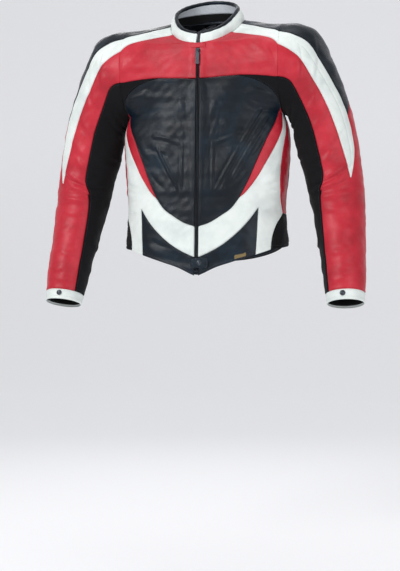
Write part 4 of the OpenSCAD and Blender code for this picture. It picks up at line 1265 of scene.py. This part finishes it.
def tongue(name, slot, cx, cz, w, h, r, y, thick, crumple):
    """Flat leather piece with a rolled edge, a stitched line and a slight crumple."""
    rim_line = rounded_rect(cx, cz, w, h, r)
    middle = np.array([cx, cz])
    shares = [1, 0.985, 0.96, 0.93, 0.9, 0.86, 0.82, 0.7, 0.5, 0.25]
    sink = [0.5 * thick, 0.15, 0.0, -0.05, 0.06, 0.25, 0.0, -0.05, 0, 0]
    m = len(rim_line)
    rings = []
    for share, low in zip(shares, sink):
        p = middle + (rim_line - middle) * share
        ease = min(1, (1 - share) * 4)
        wave = crumple * ease * (np.sin(p[:, 0] * 0.31 + p[:, 1] * 0.2) * np.cos(p[:, 1] * 0.42)
                                 + 0.4 * np.sin(p[:, 0] * 0.7))
        rings.append(xyz(p[:, 0], y - thick + low - 0.35 * wave, p[:, 1]))
    back_ring = xyz(rim_line[:, 0], y, rim_line[:, 1])
    front_mid = np.array([[cx, y - thick, cz]])
    points = np.concatenate([back_ring] + rings + [front_mid])
    n = len(rings)
    faces = [[i * m + j, (i + 1) * m + j, (i + 1) * m + (j + 1) % m, i * m + (j + 1) % m]
             for i in range(n) for j in range(m)]
    last = len(points) - 1
    faces += [[n * m + j, last, n * m + (j + 1) % m] for j in range(m)]
    faces.append(list(range(m))[::-1])
    faces = [f[::-1] for f in faces]
    thread = middle + (rim_line - middle) * 0.86
    step = np.linalg.norm(np.roll(thread, -1, 0) - thread, axis=1)
    run = np.concatenate([[0], np.cumsum(step)])
    closed = np.concatenate([thread, thread[:1]])
    count = int(run[-1] / TAB_PITCH)
    at = (np.arange(count) + 0.5) * run[-1] / count
    p, d = blended(at, run, closed), blended(at + 0.5, run, closed) - blended(at - 0.5, run, closed)
    centre, along_way = xyz(p[:, 0], y - thick + 0.1, p[:, 1]), unit(xyz(d[:, 0], 0, d[:, 1]))
    out = np.array([0, -1.0, 0]) + 0 * centre
    sideways = np.cross(out, along_way)
    sp, sf = stitch_mesh(centre, along_way, sideways, out)
    fixed(name, [(on_zip(points), faces, slot), (on_zip(sp.reshape(-1, 3)), sf, THREAD[slot])])


tongue("hem_tab", "black_leather", 8, TAB_H + 12, 44, 24, 6, TOOTH_Y - 1.2, 1.5, 0.9)
tongue("zip_garage", "red_leather", 0, ZIP_LEN - 2, 38, 12, 3, -1.2, 1.3, 0.3)


def cap(name, centre, out, body):
    """Press stud's cap: a rolled flange, a groove and a low dome with a ring pressed in it."""
    profile = [(0.99, 0), (1.0, 0.35), (0.97, 0.7), (0.9, 0.86), (0.83, 0.8), (0.79, 0.95), (0.74, 1.5),
               (0.66, 1.85), (0.5, 2.05), (0.4, 2.0), (0.36, 1.86), (0.3, 2.04), (0.15, 2.12)]
    a = np.linspace(0, 2 * np.pi, 48, endpoint=False)
    m = len(a)
    x_way = unit(np.cross(out, [0.3, 0.2, 1.0]))
    y_way = np.cross(out, x_way)
    rings = [centre + (np.cos(a)[:, None] * x_way + np.sin(a)[:, None] * y_way) * (STUD_R * share) + out * up
             for share, up in profile]
    points = np.concatenate(rings + [centre[None] + out * 2.14])
    faces = ring_faces(len(rings), m)
    n = (len(rings) - 1) * m
    faces += [[n + j, n + (j + 1) % m, len(points) - 1] for j in range(m)] + [list(range(m))[::-1]]
    fixed(name, [(points, faces, "dark_metal")], body)


cap("hem_stud", on_zip(np.array([8, TOOTH_Y - 1.2 - 1.32, TAB_H + 12.0])),
    np.array([0, -math.cos(TILT), math.sin(TILT)]), "torso")
stud_at = np.array([[CUFF_START + 0.2, 92.0]])
for word, side in SIDES:
    centre, out = sleeve(stud_at)[0], outward(sleeve, stud_at)[0]
    cap(f"{word}_cuff_stud", (centre + out * 0.3) * [side, 1, 1], out * [side, 1, 1], f"{word}_lower_arm")

tag_path = [[23, -588], [26, -585], [29, -583], [32, -580]]
fixed("waist_label", [
    (*Panel(torso, tag_path, [[t, q - 10] for t, q in tag_path], "hem hem hem hem", depth=-0.9, thick=0.6,
            rough=0.2, grid=2).shell(), "woven_tag")])

LOOP_R, LOOP_LEAN, LOOP_STEPS = 24.7, math.radians(10), 60
loop_at = np.array([0, NECK_BACK[1] - 14, NECK_BACK[2] - 6])
loop_a = np.radians(np.linspace(8, 172, LOOP_STEPS))
loop_mid = loop_at + LOOP_R * xyz(np.cos(loop_a), np.sin(loop_a) * math.sin(LOOP_LEAN),
                                  -np.sin(loop_a) * math.cos(LOOP_LEAN))
loop_in = unit(loop_mid - loop_at)
loop_side = unit(np.cross(loop_in, np.gradient(loop_mid, axis=0)))
fixed("hanger_loop", [
    (*tube(loop_mid, loop_in, loop_side, np.full(LOOP_STEPS, 0.7), np.full(LOOP_STEPS, 3.2), 12, 3.5),
     "black_tape")])

# Half of the zip that joins the jacket to its trousers, sewn inside the back hem
waist_low = across([[100, -541], [130, -562], [160, -577], [180, -582]])
waist_high = across([[100, -524], [130, -545], [160, -560], [180, -565]])
WAIST_DEPTH, WAIST_TEETH = LINING_DEPTH + PAD_GAP, 88
waist_parts = [(*Panel(torso, waist_low, waist_high, "none none none none", depth=WAIST_DEPTH, thick=0.8,
                       rough=0.2, grid=6, rim_drop=0).shell(), "black_tape")]
tooth_p = along(waist_low, np.linspace(0.02, 0.98, WAIST_TEETH))
tooth_out = outward(torso, tooth_p)
tooth_at = torso(tooth_p) - tooth_out * (WAIST_DEPTH + 0.4)
tooth_run = unit(np.gradient(tooth_at, axis=0))
tooth_up = unit(np.cross(tooth_out, tooth_run))
tooth_up *= np.sign(tooth_up[:, 2:])
box_v, box_f = soft_box(-1.3, 1.3, -1.4, 1.4, -2.4, 2.4, NUB)
for at, run, out, up in zip(tooth_at, tooth_run, tooth_out, tooth_up):
    turned = np.cross(run, out) @ up < 0
    waist_parts.append((at + box_v @ np.array([run, out, up]),
                        [f[::-1] for f in box_f] if turned else box_f, "dark_metal"))
fixed("waist_zip", waist_parts)

# CAD parts that stay in view get fine edges and their own finish
EDGE_BEVEL = 0.0003
for name in ("zip_slider", "zip_pull"):
    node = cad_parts[name]
    node.data.materials.clear()
    node.data.materials.append(MAT["dark_metal"])
    bevel = node.modifiers.new("edges", "BEVEL")
    bevel.width, bevel.segments, bevel.limit_method = EDGE_BEVEL, 2, "ANGLE"

# ---- Camera, light and floor ----

AZIMUTH, DISTANCE, EYE_Z, SIDE_STEP, LENS = math.radians(13), 2.8, -0.66, -0.0175, 70.6
camera_data = bpy.data.cameras.new("camera")
camera_data.lens = LENS
camera_data.sensor_width = 36
camera = placed("camera", camera_data)
camera.location = (math.sin(AZIMUTH) * DISTANCE + math.cos(AZIMUTH) * SIDE_STEP,
                   -math.cos(AZIMUTH) * DISTANCE + math.sin(AZIMUTH) * SIDE_STEP, EYE_Z)
camera.rotation_euler = (math.radians(90), 0, AZIMUTH)
bpy.context.scene.camera = camera

# Round lamps: place, size and watts
MIDDLE = np.array([0, 0, -0.35])
for name, place, size, watts in (("key", (-1.4, -2.3, 0.8), 1.0, 40), ("fill", (1.8, -2.0, 0.0), 1.6, 17),
                                 ("top", (0.1, -0.3, 1.7), 1.2, 11), ("back", (-0.6, 1.9, 0.6), 1.4, 10)):
    data = bpy.data.lights.new(name, "AREA")
    data.shape, data.size, data.energy = "DISK", size, watts
    lamp = placed(name, data)
    lamp.location = place
    aim = MIDDLE - np.array(place)
    lamp.rotation_euler = (math.acos(-aim[2] / np.linalg.norm(aim)), 0,
                           math.atan2(aim[1], aim[0]) - math.pi / 2)

world = bpy.data.worlds.new("studio")
world.use_nodes = True
world.node_tree.nodes["Background"].inputs["Color"].default_value = (0.93, 0.94, 0.95, 1)
world.node_tree.nodes["Background"].inputs["Strength"].default_value = 0.5
bpy.context.scene.world = world
bpy.context.scene.view_settings.view_transform = "Standard"

# One sheet of paper runs along the floor and up behind the jacket
FLOOR_Z, BACK_Y, CURVE_R, PAPER_X = -1.42, 6.5, 2.0, 14.0
sweep = [(-12.0, FLOOR_Z)] + [(BACK_Y - CURVE_R + CURVE_R * math.sin(a),
                               FLOOR_Z + CURVE_R - CURVE_R * math.cos(a))
                            for a in np.linspace(0, math.pi / 2, 24)] + [(BACK_Y, 9.0)]
paper_v = [(x, y, z) for y, z in sweep for x in (-PAPER_X, PAPER_X)]
paper = bpy.data.meshes.new("floor")
paper.from_pydata(paper_v, [], [(2 * i, 2 * i + 1, 2 * i + 3, 2 * i + 2) for i in range(len(sweep) - 1)])
paper.polygons.foreach_set("use_smooth", [True] * len(paper.polygons))
floor = placed("floor", paper)
look = Look("floor_paper", linear(222, 222, 224), 0.9)
look.ramp(look.texture("Noise", 60, Detail=3).outputs["Fac"],
          [(0.3, linear(220, 220, 222)), (0.7, linear(224, 224, 226))], "Base Color")
look.set(Emission_Color=linear(236, 237, 240), Emission_Strength=0.33)
paper.materials.append(look.mat)
